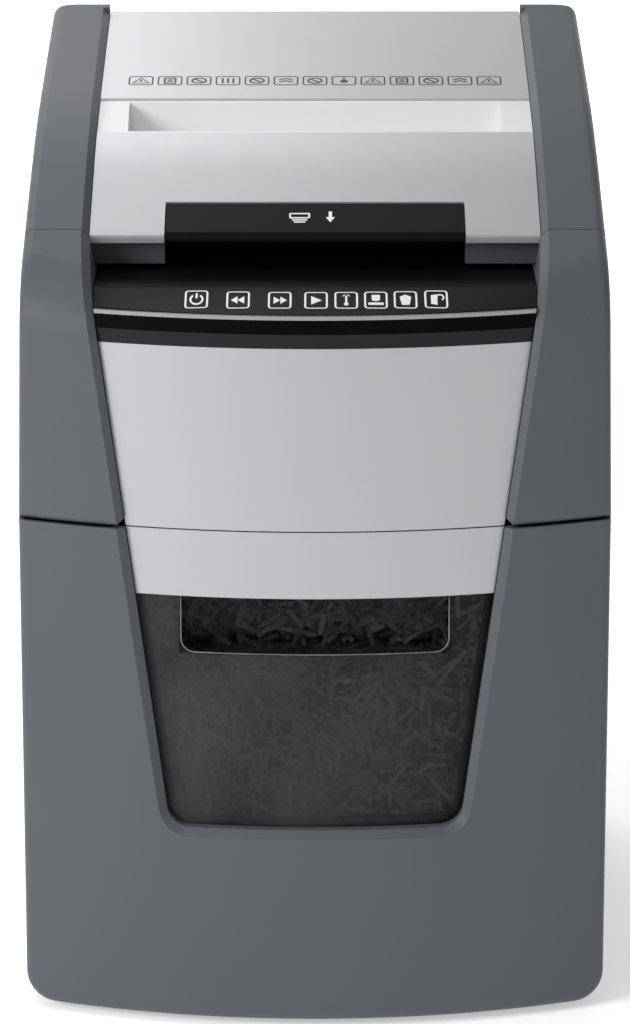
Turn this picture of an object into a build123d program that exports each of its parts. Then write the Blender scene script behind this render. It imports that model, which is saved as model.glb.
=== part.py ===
from build123d import *
import math
import os
from functools import cache

# Paper shredder with an automatic feed lid, a manual feed slot and a pull-out bin.
# Frame: +X to the right, -Y to the front, +Z up, millimetres.
# Origin: on the floor, in the middle of the casing's footprint.

# ------------------------------------------------------------------ casing
WIDTH = 345.0
DEPTH = 406.0
FLOOR_GAP = 4.0            # underside of the casing above the floor
SEAM_Z = 304.0             # joint between the bin front and the head
SEAM_GAP = 0.8
WALL = 3.0
FRONT_BOW = 35.0           # the front's middle stands this far before its corners
FRONT_CORNER_R = 6.0
BACK_CORNER_R = 20.0
BOTTOM_CORNER_R = 18.0
HEAD_TAPER = 3.1           # each side leans in by this, up to the front of the lid
BASE_TRAY_TOP = 22.0
BIN_FRONT_DEPTH = 83.4     # depth of the bin's own piece of casing, from the front's middle

# ------------------------------------------------------------------ head and lid
HEAD_FRONT = 161.3         # height from the seam to the lid's front edge
LID_SETBACK = 85.0         # lid's front edge behind the front's middle
KNEE_SETBACK = 198.3       # where the top's two slopes meet, behind the front's middle
FRONT_SLOPE = 20.4
REAR_SLOPE = 9.5
KNEE_R = 500.0
SHOULDER_R = 42.0          # round from the front face to the sloping top
LID_GAP = 0.8
LID_SIDE = 27.0            # height of the lid's side wall at its front edge
HINGE_INSET = 5.0          # hinge axis in from the back
HINGE_DROP = 34.0          # hinge axis below the top of the back
KNUCKLE_R = 5.0
HINGE_PIN_R = 2.0
KNUCKLE_WIDTH = 16.0
HINGE_SPREAD = 120.0

# ------------------------------------------------------------------ front recess and its panels
RAIL_WIDTH = 37.5          # from the head's side to the recess, at the lid's front edge
RECESS_FLARE = 0.136       # the recess widens upwards by this much per millimetre, each side
RECESS_BOTTOM = 122.8
RECESS_CORNER_R = 13.5
RECESS_DEPTH = 7.0
BEVEL = 4.5
PANEL_GAP = 0.5
PANEL_THICK = 2.5
FRONT_PANEL_HEIGHT = 109.0
SKIRT_HEIGHT = 8.0
DISPLAY_HEIGHT = 8.5
TRIM_HEIGHT = 2.1
SHELF_DROP = 26.3          # shelf under the lid's lip, below the lid's front edge
SHELF_SETBACK = 48.0       # the icon band ends and the shelf starts here

# ------------------------------------------------------------------ lid top
TOP_RECESS = 4.5           # silver panels below the rails
TOP_BEVEL = 4.2
TOP_PANEL_THICK = 2.8
SUB_PLATE = 3.0
LEVER_HALF = 87.4
LEVER_LENGTH = 33.0        # front to back, level
LEVER_THICK = 5.0
LEVER_REAR_GAP = 1.6        # behind the lever, for its rear edge as it turns
LEVER_PIN_R = 1.5
LIP_DROP = 3.2
LIP_R = 2.2
LEVER_BEVEL = 2.8
SLOT_FRONT = -1.8          # manual slot's silver edges, measured from the knee
SLOT_BACK = 48.7
THROAT_WALL = 2.0
NECK_WIDTH = 8.0

# ------------------------------------------------------------------ bin
STRIP_HEIGHT = 39.8
WINDOW_THICK = 2.5
WINDOW_SET = 10.0          # face of the window behind the casing's face
PULL_HALF = 78.0           # finger pocket in the window
PULL_TOP = 287.0
PULL_BOTTOM = 229.0
PULL_SETBACK = 35.0
PULL_CORNER_R = 8.0
TUB_SIDE_GAP = 11.0
TUB_TOP = 292.0
TUB_BOTTOM = 12.0
TUB_WALL = 2.5
VIEW_RIM = 5.0             # tub's rim round its view opening, in from the recess
HEAP_DROP = 34.0           # heap's highest line below the seam
SHRED_SKIN = 4.0

# ------------------------------------------------------------------ feed and cutters
SIDE_BAY = 57.5            # from the casing's side to the end of the feed slot
CUTTER_Z = SEAM_Z + 64.0
CUTTER_PITCH = 35.0        # distance between the two cutter shafts
DISC_R = 20.5
DISC_ROOT_R = 18.0
DISC_THICK = 3.6
DISC_STEP = 8.0
DISC_TEETH = 12
SHAFT_R = 10.0
JOURNAL_R = 8.0
FIT = 0.05                 # running clearance of shafts and bores, on the radius
FRAME_THICK = 2.5
TRAY_FLOOR_Z = SEAM_Z + 120.0
TRAY_WALL = 2.0
PICKUP_R = 14.0
PICKUP_RISE = 3.0          # rollers stand this far above the tray floor
PICKUP_SPREAD = 29.0       # each pickup shaft from the middle of the cutters
PICKUP_SHAFT_R = 4.0
ROLLER_WIDTH = 16.0
PLATE_RISE = 16.0          # pressure plate above the tray floor
PLATE_THICK = 3.0
PLATE_TRAVEL = 8.0
MOTOR_R = 32.0
MOTOR_LENGTH = 120.0

# gears: number of teeth, module
SYNC = (14, 2.5)
DRIVE = (48, 1.5)
DRIVE_PINION = (12, 1.5)
REDUCTION = (50, 1.2)
MOTOR_PINION = (10, 1.2)
FEED = (24, 1.5)
IDLER = (18, 1.5)
BACKLASH = 0.25
INTERMEDIATE_ANGLE = 10.0
MOTOR_ANGLE = -15.0

# ------------------------------------------------------------------ derived places
Y_FRONT = -DEPTH / 2
Y_BACK = DEPTH / 2
BOW_R = (WIDTH / 2) ** 2 / (2 * FRONT_BOW) + FRONT_BOW / 2
BOW_Y = Y_FRONT + BOW_R
LID_Y = Y_FRONT + LID_SETBACK
LID_Z = SEAM_Z + HEAD_FRONT
KNEE_Y = Y_FRONT + KNEE_SETBACK
TAN_F = math.tan(math.radians(FRONT_SLOPE))
TAN_R = math.tan(math.radians(REAR_SLOPE))
COS_F = math.cos(math.radians(FRONT_SLOPE))
COS_R = math.cos(math.radians(REAR_SLOPE))
KNEE_Z = LID_Z + (KNEE_Y - LID_Y) * TAN_F
HINGE_Y = Y_BACK - HINGE_INSET
HINGE_Z = KNEE_Z + (Y_BACK - KNEE_Y) * TAN_R - HINGE_DROP
SEAM_R = math.hypot(LID_Y - HINGE_Y, LID_Z - HINGE_Z)
PART_SLOPE = (HINGE_Z - (LID_Z - LID_SIDE)) / (HINGE_Y - LID_Y)
RECESS_TOP_HALF = WIDTH / 2 - HEAD_TAPER - RAIL_WIDTH
BIN_BACK_Y = Y_FRONT + BIN_FRONT_DEPTH
HEAD_FLOOR = SEAM_Z + SEAM_GAP / 2
BIN_TOP = SEAM_Z - SEAM_GAP / 2
PANEL_TOP = SEAM_Z + FRONT_PANEL_HEIGHT
SKIRT_TOP = PANEL_TOP + SKIRT_HEIGHT
DISPLAY_TOP = SKIRT_TOP + DISPLAY_HEIGHT
TRIM_TOP = DISPLAY_TOP + TRIM_HEIGHT
SHELF_Z = LID_Z - SHELF_DROP
SHELF_Y = Y_FRONT + SHELF_SETBACK
SLOT_HALF = WIDTH / 2 - SIDE_BAY
SLOT_Y = KNEE_Y + (SLOT_FRONT + SLOT_BACK) / 2 - 3.75
FRAME_X = SLOT_HALF + 3.0
FRAME_OUT = FRAME_X + FRAME_THICK
CUTTER_FRONT = (SLOT_Y - CUTTER_PITCH / 2, CUTTER_Z)
CUTTER_REAR = (SLOT_Y + CUTTER_PITCH / 2, CUTTER_Z)
PICKUP_Z = TRAY_FLOOR_Z + PICKUP_RISE - PICKUP_R
PLATE_Z = TRAY_FLOOR_Z + PLATE_RISE
BASE_TOP = HEAD_FLOOR + 4.0


def polar(centre, radius, angle):
    """A point (y, z) at a distance and an angle in degrees from another."""
    turn = math.radians(angle)
    return (centre[0] + radius * math.cos(turn), centre[1] + radius * math.sin(turn))


def gear_distance(first, second):
    """Centre distance of two gears given as (teeth, module)."""
    return (first[0] + second[0]) * first[1] / 2


INTERMEDIATE = polar(CUTTER_REAR, gear_distance(DRIVE, DRIVE_PINION), INTERMEDIATE_ANGLE)
MOTOR = polar(INTERMEDIATE, gear_distance(REDUCTION, MOTOR_PINION), MOTOR_ANGLE)


def third_corner(low, high, reach):
    """Centre of an idler gear at the same distance from two others, on the rear side of them."""
    middle = ((low[0] + high[0]) / 2, (low[1] + high[1]) / 2)
    half = math.dist(low, high) / 2
    side = math.sqrt(reach ** 2 - half ** 2)
    return (middle[0] + side * (high[1] - low[1]) / (2 * half),
            middle[1] - side * (high[0] - low[0]) / (2 * half))


PICKUP_REAR = (SLOT_Y + PICKUP_SPREAD, PICKUP_Z)
PICKUP_FRONT = (SLOT_Y - PICKUP_SPREAD, PICKUP_Z)
IDLER_REAR = third_corner(CUTTER_REAR, PICKUP_REAR, gear_distance(FEED, IDLER))
IDLER_FRONT = (2 * SLOT_Y - IDLER_REAR[0], IDLER_REAR[1])


# ------------------------------------------------------------------ plain shapes
def block(x0, x1, y0, y1, z0, z1):
    """Box between two corners."""
    middle = Pos((x0 + x1) / 2, (y0 + y1) / 2, (z0 + z1) / 2)
    return middle * Box(abs(x1 - x0), abs(y1 - y0), abs(z1 - z0))


def both_sides(shape):
    """A shape and its mirror image about the middle plane."""
    return shape + mirror(shape, about=Plane.YZ)


def rod_x(x0, x1, centre, radius):
    """Round bar along X at (y, z)."""
    return Pos((x0 + x1) / 2, centre[0], centre[1]) * Rot(0, 90, 0) * Cylinder(radius, abs(x1 - x0))


def rod_y(y0, y1, x, z, radius):
    """Round bar along Y at (x, z)."""
    return Pos(x, (y0 + y1) / 2, z) * Rot(90, 0, 0) * Cylinder(radius, abs(y1 - y0))


def rod_z(z0, z1, x, y, radius):
    """Upright round bar at (x, y)."""
    return Pos(x, y, (z0 + z1) / 2) * Cylinder(radius, abs(z1 - z0))


def prism_x(points, x0, x1):
    """A (y, z) polygon carried along X."""
    face = Plane.YZ.offset(x0) * make_face(Polyline(*points, close=True))
    return extrude(face, amount=x1 - x0)


def prism_y(face, y0, y1):
    """An (x, z) face carried along Y."""
    plane = Plane((0, y1, 0), x_dir=(1, 0, 0), z_dir=(0, -1, 0))
    return extrude(plane * face, amount=y1 - y0)


def polygon(*points):
    """Face inside a closed run of straight lines."""
    return make_face(Polyline(*points, close=True))


def group(shapes):
    """Separate solids kept in one sub-part."""
    solids = []
    for shape in shapes:
        solids.extend(shape.solids())
    return Compound(children=solids)


def creases(shape, accept):
    """Edges where two faces meet at a clear angle, among those that accept() takes."""
    found = []
    faces = shape.faces()
    for edge in shape.edges():
        middle = edge @ 0.5
        if not accept(middle):
            continue
        owners = [f for f in faces if any(e.is_same(edge) for e in f.edges())]
        if len(owners) == 2:
            turn = owners[0].normal_at(middle).get_angle(owners[1].normal_at(middle))
            if turn > 15:
                found.append(edge)
    return found


# ------------------------------------------------------------------ casing bodies
def top_z(y, inset=0.0):
    """Height of the casing's top at a depth y, before the knee is rounded."""
    if y < KNEE_Y:
        return LID_Z + (y - LID_Y) * TAN_F - inset / COS_F
    return KNEE_Z + (y - KNEE_Y) * TAN_R - inset / COS_R


def part_z(y):
    """Height of the parting plane between the head and the lid."""
    return HINGE_Z + (y - HINGE_Y) * PART_SLOPE


def recess_half(z):
    """Half width of the front recess at a height."""
    return RECESS_TOP_HALF + (z - LID_Z) * RECESS_FLARE


def bow_y(x, inset=0.0):
    """Depth of the bowed front at a distance x from the middle."""
    return BOW_Y - math.sqrt((BOW_R - inset) ** 2 - x ** 2)


@cache
def plan(inset):
    """Seen from above: bowed front, straight sides, round back corners."""
    half = WIDTH / 2 - inset
    front = ThreePointArc((-half, bow_y(half, inset)), (0, Y_FRONT + inset), (half, bow_y(half, inset)))
    back = Polyline((half, bow_y(half, inset)), (half, Y_BACK - inset), (-half, Y_BACK - inset),
                    (-half, bow_y(half, inset)))
    face = make_face(front + back)
    corners = face.vertices().group_by(Axis.Y)[-1]
    return fillet(corners, max(BACK_CORNER_R - inset, 2.0))


@cache
def plan_form(inset):
    """Upright prism of the casing's plan, set in by inset."""
    return Pos(0, 0, -100) * extrude(plan(inset), amount=1000)


@cache
def under_top(inset, half=WIDTH):
    """Everything under the casing's sloping top, set down by inset."""
    knee_y = KNEE_Y - inset * math.tan(math.radians((FRONT_SLOPE + REAR_SLOPE) / 2))
    knee_z = top_z(KNEE_Y) - inset
    points = [(Y_FRONT - 40, -40), (Y_FRONT - 40, knee_z + (Y_FRONT - 40 - knee_y) * TAN_F),
              (knee_y, knee_z), (Y_BACK + 60, knee_z + (Y_BACK + 60 - knee_y) * TAN_R),
              (Y_BACK + 60, -40)]
    face = polygon(*points)
    knee = face.vertices().sort_by_distance((knee_y, knee_z, 0))[0]
    face = fillet(knee, KNEE_R - inset)
    return extrude(Plane.YZ.offset(-half) * face, amount=2 * half)


@cache
def lower_body(inset):
    """The casing below the seam, as a solid set in by inset."""
    half = WIDTH / 2 - inset
    low = FLOOR_GAP + inset
    outline = polygon((-half, low), (half, low), (half, BIN_TOP), (-half, BIN_TOP))
    outline = fillet(outline.vertices().group_by(Axis.Y)[0], max(BOTTOM_CORNER_R - inset, 2.0))
    solid = prism_y(outline, -DEPTH, DEPTH) & extrude(plan(inset), amount=BIN_TOP)
    return Part() + solid


@cache
def head_body(inset):
    """The casing above the seam, lid and all, as a solid set in by inset."""
    low = HEAD_FLOOR
    lean = HEAD_TAPER / HEAD_FRONT
    half = WIDTH / 2 - inset
    high = LID_Z + 200
    outline = polygon((-half, low), (half, low),
                      (half - lean * (high - SEAM_Z), high), (-half + lean * (high - SEAM_Z), high))
    solid = prism_y(outline, -DEPTH, DEPTH) & (Pos(0, 0, low) * extrude(plan(inset), amount=400))
    solid = solid & under_top(inset)
    brow = (0, Y_FRONT + inset, top_z(Y_FRONT + inset, inset))
    edge = solid.edges().sort_by_distance(brow)[0]
    return Part() + fillet(edge, SHOULDER_R - inset)


@cache
def outer_head():
    """The head's outer form with its long edges rounded."""
    solid = head_body(0.0)
    edges = creases(solid, lambda p: p.Y < LID_Y and p.Z < PANEL_TOP)
    return fillet(edges, FRONT_CORNER_R)


@cache
def outer_lower():
    """The lower casing's outer form with its long edges rounded."""
    solid = lower_body(0.0)
    edges = creases(solid, lambda p: p.Y < BIN_BACK_Y and 2 * BASE_TRAY_TOP < p.Z < BIN_TOP - 1)
    return fillet(edges, FRONT_CORNER_R)


@cache
def recess(grow, low):
    """The recess as seen from the front, wider by grow, from a height upwards."""
    top = LID_Z + 200
    points = [(recess_half(low) + grow, low), (recess_half(top) + grow, top),
              (-recess_half(top) - grow, top), (-recess_half(low) - grow, low)]
    return prism_y(polygon(*points), -DEPTH, DEPTH)


@cache
def recess_u(grow):
    """The recess with its closed lower end, wider by grow all round."""
    low = RECESS_BOTTOM - grow
    top = LID_Z + 200
    points = [(recess_half(low) + grow, low), (recess_half(top) + grow, top),
              (-recess_half(top) - grow, top), (-recess_half(low) - grow, low)]
    face = polygon(*points)
    corners = face.vertices().group_by(Axis.Y)[0]
    return prism_y(fillet(corners, RECESS_CORNER_R + grow), -DEPTH, DEPTH)


@cache
def lid_sweep(radius, lift):
    """Space the lid may fill: inside a cylinder about the hinge and above the parting plane."""
    half = WIDTH
    round_part = rod_x(-half, half, (HINGE_Y, HINGE_Z), radius)
    back_part = block(-half, half, HINGE_Y, HINGE_Y + 60, HINGE_Z - 200, HINGE_Z + 200)
    low, high = Y_FRONT - 60, Y_BACK + 60
    above = prism_x([(low, part_z(low) + lift), (high, part_z(high) + lift), (high, 900), (low, 900)],
                    -half, half)
    return (round_part + back_part) & above


def skin(first, second):
    """The layer between two insets of the casing's front, head height."""
    return head_body(first) - head_body(second)


def low_skin(first, second):
    """The layer between two insets of the lower casing."""
    return lower_body(first) - lower_body(second)


def slab_z(z0, z1):
    """Everything between two heights."""
    return block(-WIDTH, WIDTH, -DEPTH, DEPTH, z0, z1)


def slab_y(y0, y1):
    """Everything between two depths."""
    return block(-WIDTH, WIDTH, y0, y1, -100, 900)


def slab_x(half):
    """Everything within half of the middle plane."""
    return block(-half, half, -DEPTH, DEPTH, -100, 900)


# ------------------------------------------------------------------ gears and discs
def involute(angle):
    """Involute function of a pressure angle."""
    return math.tan(angle) - angle


def gear(kind, centre, x0, x1, bore, phase):
    """Spur gear (teeth, module) with stub involute teeth; phase is the angle of one tooth."""
    teeth, module = kind
    pitch_r = teeth * module / 2
    pressure = math.radians(25.0)
    base_r = pitch_r * math.cos(pressure)
    root_r = pitch_r - 1.05 * module
    tip_r = pitch_r + 0.8 * module
    half_tooth = (math.pi * module / 2 - BACKLASH) / (2 * pitch_r)
    low_r = max(base_r, root_r)
    radii = [low_r + (tip_r - low_r) * k / 3 for k in range(4)]
    flank = [(r, half_tooth + involute(pressure) - involute(math.acos(base_r / r))) for r in radii]
    if root_r < base_r:
        flank.insert(0, (root_r, flank[0][1]))
    points = []
    for tooth in range(teeth):
        middle = phase + 360.0 * tooth / teeth
        left = [polar(centre, r, middle - math.degrees(a)) for r, a in flank]
        right = [polar(centre, r, middle + math.degrees(a)) for r, a in reversed(flank)]
        points.extend(left + right)
    return prism_x(points, x0, x1) - rod_x(x0 - 1, x1 + 1, centre, bore)


def mesh_phase(first, first_centre, first_phase, second, second_centre):
    """Tooth angle that puts the second gear's gap where the first gear's tooth is."""
    line = math.degrees(math.atan2(second_centre[1] - first_centre[1],
                                   second_centre[0] - first_centre[0]))
    share = (line - first_phase) * first[0] / 360.0
    return line + 180.0 - (0.5 - share) * 360.0 / second[0]


def cutter_disc(centre, x, lead):
    """Toothed cutting disc in the plane x."""
    points = []
    for tooth in range(DISC_TEETH):
        angle = lead + 360.0 * tooth / DISC_TEETH
        points.append(polar(centre, DISC_ROOT_R, angle))
        points.append(polar(centre, DISC_R, angle + 4.0))
        points.append(polar(centre, DISC_R - 0.6, angle + 16.0))
    disc = prism_x(points, x - DISC_THICK / 2, x + DISC_THICK / 2)
    return disc - rod_x(x - DISC_THICK, x + DISC_THICK, centre, SHAFT_R + FIT)


def disc_places(shift):
    """Middle planes of the discs on one shaft."""
    reach = SLOT_HALF - 4.0
    count = int((reach - shift) // DISC_STEP)
    first = -int((reach + shift) // DISC_STEP)
    return [shift + DISC_STEP * k for k in range(first, count + 1)]


# ------------------------------------------------------------------ lower casing and bin
def base_tray():
    """Floor tray of the casing with its round lower corners."""
    tray = outer_lower() & slab_z(0, BASE_TRAY_TOP) & slab_y(BIN_BACK_Y + SEAM_GAP / 2, DEPTH)
    return tray - lower_body(WALL)


def cabinet_shell():
    """Sides and back of the lower casing, with a flange that carries the head."""
    behind = slab_y(BIN_BACK_Y + SEAM_GAP / 2, DEPTH)
    walls = (outer_lower() - lower_body(WALL)) & slab_z(BASE_TRAY_TOP, BIN_TOP) & behind
    ledge = extrude(plan(WALL), amount=4.0) - extrude(plan(WALL + 8.0), amount=4.0)
    ledge = (Pos(0, 0, HEAD_FLOOR - 4.0) * ledge) & behind
    return walls + ledge


RUNNER_X = WIDTH / 2 - 42.5
RUNNER_TOP = TUB_BOTTOM - 0.3


def bin_runners():
    """Two rails on the floor tray that the bin slides on."""
    rail = block(RUNNER_X - 8, RUNNER_X + 8, BIN_BACK_Y + 8, Y_BACK - 12, FLOOR_GAP + WALL, RUNNER_TOP)
    guide = block(WIDTH / 2 - TUB_SIDE_GAP - WALL + 0.4, WIDTH / 2 - WALL, BIN_BACK_Y + 8, Y_BACK - 30,
                  BASE_TRAY_TOP, BASE_TRAY_TOP + 14)
    return group([both_sides(rail), both_sides(guide)])


def rubber_feet():
    """Four round feet under the floor tray."""
    feet = []
    for x in (-1, 1):
        for y in (BIN_BACK_Y + 26, Y_BACK - 26):
            foot = rod_z(0, FLOOR_GAP, x * (WIDTH / 2 - 36), y, 11.0)
            feet.append(chamfer(foot.edges().group_by(Axis.Z)[0], 1.0))
    return group(feet)


def bin_fascia():
    """The bin's own piece of casing: bowed front, corners, and the frame round the recess."""
    front = slab_y(-DEPTH, BIN_BACK_Y - SEAM_GAP / 2)
    shell = (outer_lower() - lower_body(WALL)) & front
    rim = recess_u(BEVEL + 3.0) & low_skin(0.0, RECESS_DEPTH + 4.0) & front
    shell = shell + (rim & outer_lower())
    shell = shell - recess_u(0.0)
    shell = chamfer(creases(shell, on_recess_edge), BEVEL)
    pull = block(-PULL_HALF - 4, PULL_HALF + 4, Y_FRONT, 0, 0, PULL_TOP + 1)
    bridge = low_skin(WINDOW_SET, WINDOW_SET + 3.0) & recess_u(BEVEL)
    bridge = bridge & slab_z(TUB_TOP + 0.6, BIN_TOP) & front
    shelf = block(RUNNER_X - 20, RUNNER_X + 20, Y_FRONT + 30, BIN_BACK_Y - 2, FLOOR_GAP + 1, TUB_BOTTOM)
    shelf = shelf & lower_body(1.0)
    for x in screw_spots():
        shelf = shelf - rod_z(0, TUB_BOTTOM + 1, x, BIN_BACK_Y - 12, 2.1)
    return shell + (bridge - pull) + both_sides(shelf)


def screw_spots():
    """Where the bin's screws stand, on the right half."""
    return [RUNNER_X - 12, RUNNER_X + 12]


def bin_screws():
    """Screws that hold the tub on the bin front's brackets."""
    screws = []
    for x in screw_spots():
        for side in (-1, 1):
            shank = rod_z(TUB_BOTTOM - 5.0, TUB_BOTTOM + TUB_WALL + 1.0, side * x, BIN_BACK_Y - 12, 1.9)
            head = rod_z(TUB_BOTTOM + TUB_WALL, TUB_BOTTOM + TUB_WALL + 2.4, side * x, BIN_BACK_Y - 12, 4.0)
            screws.append(shank + head)
    return group(screws)


def bin_handle_strip():
    """Silver strip across the top of the bin front; fingers pull it from behind."""
    strip = low_skin(RECESS_DEPTH, RECESS_DEPTH + PANEL_THICK) & recess_u(-PANEL_GAP)
    return strip & slab_z(BIN_TOP - STRIP_HEIGHT, BIN_TOP) & slab_y(-DEPTH, 0)


def pull_pocket(grow):
    """Finger pocket in the window, as a solid grown by grow."""
    half = PULL_HALF + grow
    face = polygon((-half, PULL_BOTTOM - grow), (half, PULL_BOTTOM - grow),
                   (half, PULL_TOP + grow), (-half, PULL_TOP + grow))
    face = fillet(face.vertices().group_by(Axis.Y)[0], PULL_CORNER_R + grow)
    return prism_y(face, -DEPTH, Y_FRONT + PULL_SETBACK + grow)


def bin_window():
    """Smoky window with the finger pocket moulded in it."""
    plate = low_skin(WINDOW_SET, WINDOW_SET + WINDOW_THICK) & recess_u(-PANEL_GAP) & slab_y(-DEPTH, 0)
    top = BIN_TOP - 14.6
    plate = plate & slab_z(0, top)
    pocket = pull_pocket(2.0) & lower_body(WINDOW_SET)
    inside = pull_pocket(0.0)
    return (plate + pocket) - inside


def bin_tub():
    """Paper bin: bowed front with a window opening, straight sides, open top."""
    outer = tub_form(0.0, TUB_BOTTOM)
    inner = tub_form(TUB_WALL, TUB_BOTTOM + TUB_WALL)
    tub = outer - inner
    view = recess_u(-VIEW_RIM) & slab_y(-DEPTH, 0) & slab_z(0, BIN_TOP - STRIP_HEIGHT - 1)
    pull = pull_pocket(4.0) & slab_z(0, TUB_TOP - 1.6)
    tub = tub - view - pull
    for x in screw_spots():
        tub = tub - both_sides(rod_z(0, 20, x, BIN_BACK_Y - 12, 2.1))
    lip = tub_form(-3.0, TUB_TOP - 3.0) - tub_form(TUB_WALL, 0.0)
    return tub + (lip & slab_y(BIN_BACK_Y + 6, DEPTH))


def tub_form(inset, low):
    """The tub's form set in by inset, from a height up to its top."""
    half = WIDTH / 2 - WALL - TUB_SIDE_GAP - inset
    sides = block(-half, half, -DEPTH, Y_BACK - 18.0 - inset, low, TUB_TOP)
    return sides & plan_form(WINDOW_SET + WINDOW_THICK + 0.3 + inset)


def shred_form(inset, low):
    """The heap of shreds as a solid set in by inset."""
    back = Y_BACK - 22.0
    top = SEAM_Z - HEAP_DROP - inset
    crown = [(-DEPTH, low), (-DEPTH, top - 4), (Y_FRONT + 60, top - 2), (SLOT_Y, top), (SLOT_Y + 90, top - 12),
             (back, top - 44), (back, low)]
    half = WIDTH / 2 - WALL - TUB_SIDE_GAP - TUB_WALL - 0.6 - inset
    heap = prism_x(crown, -half, half) & slab_y(-DEPTH, back - inset)
    heap = heap & plan_form(WINDOW_SET + WINDOW_THICK + 0.3 + TUB_WALL + 0.6 + inset)
    return heap - pull_pocket(2.6 + inset)


def paper_shreds():
    """Heap of shreds in the tub, kept as a crust so that its weight is that of loose paper."""
    low = TUB_BOTTOM + TUB_WALL + 0.3
    return shred_form(0.0, low) - shred_form(SHRED_SKIN, low - 1)


# ------------------------------------------------------------------ bevels
def on_recess_edge(point):
    """True for a point of the bin front's recess outline on the casing's outer face."""
    if point.Y > bow_y(min(abs(point.X), WIDTH / 2)) + 0.5:
        return False
    if point.Z < RECESS_BOTTOM + RECESS_CORNER_R + 1:
        return abs(point.X) < recess_half(RECESS_BOTTOM) + 1 and point.Z > RECESS_BOTTOM - 1
    return abs(abs(point.X) - recess_half(point.Z)) < 0.5


# ------------------------------------------------------------------ head
TRAY_HALF = SLOT_HALF + 0.5
TRAY_FRONT = LID_Y - 7.0
TRAY_BACK = Y_BACK - 13.0
POCKET_HALF = LEVER_HALF + 0.6
APRON_Y = LID_Y + 10.0
POCKET_BACK = LID_Y + 38.0
REAR_WALL_TOP = HINGE_Z - 6.5
VENT_COUNT = 9


@cache
def wing_bevel():
    """The thin wedges cut from the head's wings along the recess."""
    wings = outer_head() - recess(0.0, HEAD_FLOOR)
    edges = creases(wings, lambda p: abs(abs(p.X) - recess_half(p.Z)) < 0.5 and p.Y < KNEE_Y - 20)
    return wings - chamfer(edges, BEVEL)


@cache
def rail_bevel():
    """The thin wedges cut from the lid's rails along the silver panels."""
    half = RECESS_TOP_HALF
    rails = outer_head() - slab_x(half)
    edges = creases(rails, lambda p: abs(abs(p.X) - half) < 0.3 and abs(p.Z - top_z(p.Y)) < 4.0)
    return (rails - chamfer(edges, TOP_BEVEL)) & slab_y(-DEPTH, Y_BACK - 6.0)


def head_shell():
    """Head casing: side walls, bowed wings beside the recess, back wall, open top and front."""
    outer = outer_head()
    walls = outer - head_body(WALL)
    seam = lid_sweep(SEAM_R + LID_GAP / 2, -LID_GAP / 2)
    cheek = recess(BEVEL + 3.0, HEAD_FLOOR) - recess(0.0, HEAD_FLOOR)
    rim = cheek & skin(0.0, RECESS_DEPTH + 4.0) & slab_y(-DEPTH, LID_Y + 20)
    side = recess(WALL, HEAD_FLOOR) - recess(0.0, HEAD_FLOOR)
    side = side & slab_y(-DEPTH, APRON_Y + 3) & slab_z(PANEL_TOP - 30, 900)
    front_end = lid_sweep(SEAM_R + LID_GAP / 2 + WALL, -LID_GAP / 2 - WALL) - seam
    front_end = front_end & slab_y(-DEPTH, APRON_Y + 14) - recess(0.0, HEAD_FLOOR)
    shell = walls + (rim & outer) + (side & outer) + (front_end & outer)
    shell = shell - seam - (recess(0.0, HEAD_FLOOR) & slab_y(-DEPTH, LID_Y + 60))
    shell = shell - (wing_bevel() & slab_y(-DEPTH, LID_Y + 30))
    shell = shell - block(-WIDTH, WIDTH, HINGE_Y - 9, DEPTH, REAR_WALL_TOP, 900)
    window = block(-REAR_PANEL_HALF, REAR_PANEL_HALF, Y_BACK - 10, DEPTH, REAR_PANEL_LOW, REAR_PANEL_HIGH)
    return shell - window + hinge_knuckles()


REAR_PANEL_HALF = SLOT_HALF + 5.0
REAR_PANEL_LOW = SEAM_Z + 26.0
REAR_PANEL_HIGH = SEAM_Z + 166.0
SWITCH_X = -80.0
SWITCH_Z = REAR_PANEL_LOW + 24.0
GLAND_X = -30.0


def hinge_knuckles():
    """Barrels on the head's back wall that carry the hinge pins."""
    barrels = []
    for x in (-HINGE_SPREAD, HINGE_SPREAD):
        barrel = rod_x(x - KNUCKLE_WIDTH / 2, x + KNUCKLE_WIDTH / 2, (HINGE_Y, HINGE_Z), KNUCKLE_R)
        neck = block(x - KNUCKLE_WIDTH / 2, x + KNUCKLE_WIDTH / 2, HINGE_Y - KNUCKLE_R + 1, Y_BACK - 0.5,
                     REAR_WALL_TOP, HINGE_Z)
        bore = rod_x(x - KNUCKLE_WIDTH, x + KNUCKLE_WIDTH, (HINGE_Y, HINGE_Z), HINGE_PIN_R + FIT)
        barrels.append(barrel + neck - bore)
    return barrels[0] + barrels[1]


def hinge_pins():
    """Steel pins through the knuckles of head and lid."""
    pins = []
    reach = KNUCKLE_WIDTH * 1.5 + 0.4
    for x in (-HINGE_SPREAD, HINGE_SPREAD):
        pins.append(rod_x(x - reach, x + reach, (HINGE_Y, HINGE_Z), HINGE_PIN_R))
    return group(pins)


def head_base():
    """Plate under the works, standing on the lower casing's flange, with the shred chute."""
    plate = Pos(0, 0, HEAD_FLOOR) * extrude(plan(WALL + 0.3), amount=BASE_TOP - HEAD_FLOOR)
    chute = block(-FRAME_X, FRAME_X, SLOT_Y - 45, SLOT_Y + 45, 0, 900)
    apron = block(-FRAME_X - 2, FRAME_X + 2, SLOT_Y - 47, SLOT_Y + 47, HEAD_FLOOR - 5.5, BASE_TOP)
    front = recess(BEVEL + 3.3, HEAD_FLOOR) & slab_y(-DEPTH, 0)
    front = front & (plan_form(0.0) - plan_form(RECESS_DEPTH + 4.3))
    return plate + apron - chute - front


def front_panel():
    """Silver panel on the front of the head."""
    return upright_band(HEAD_FLOOR, PANEL_TOP - 0.3, RECESS_DEPTH, RECESS_DEPTH + PANEL_THICK)


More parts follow.
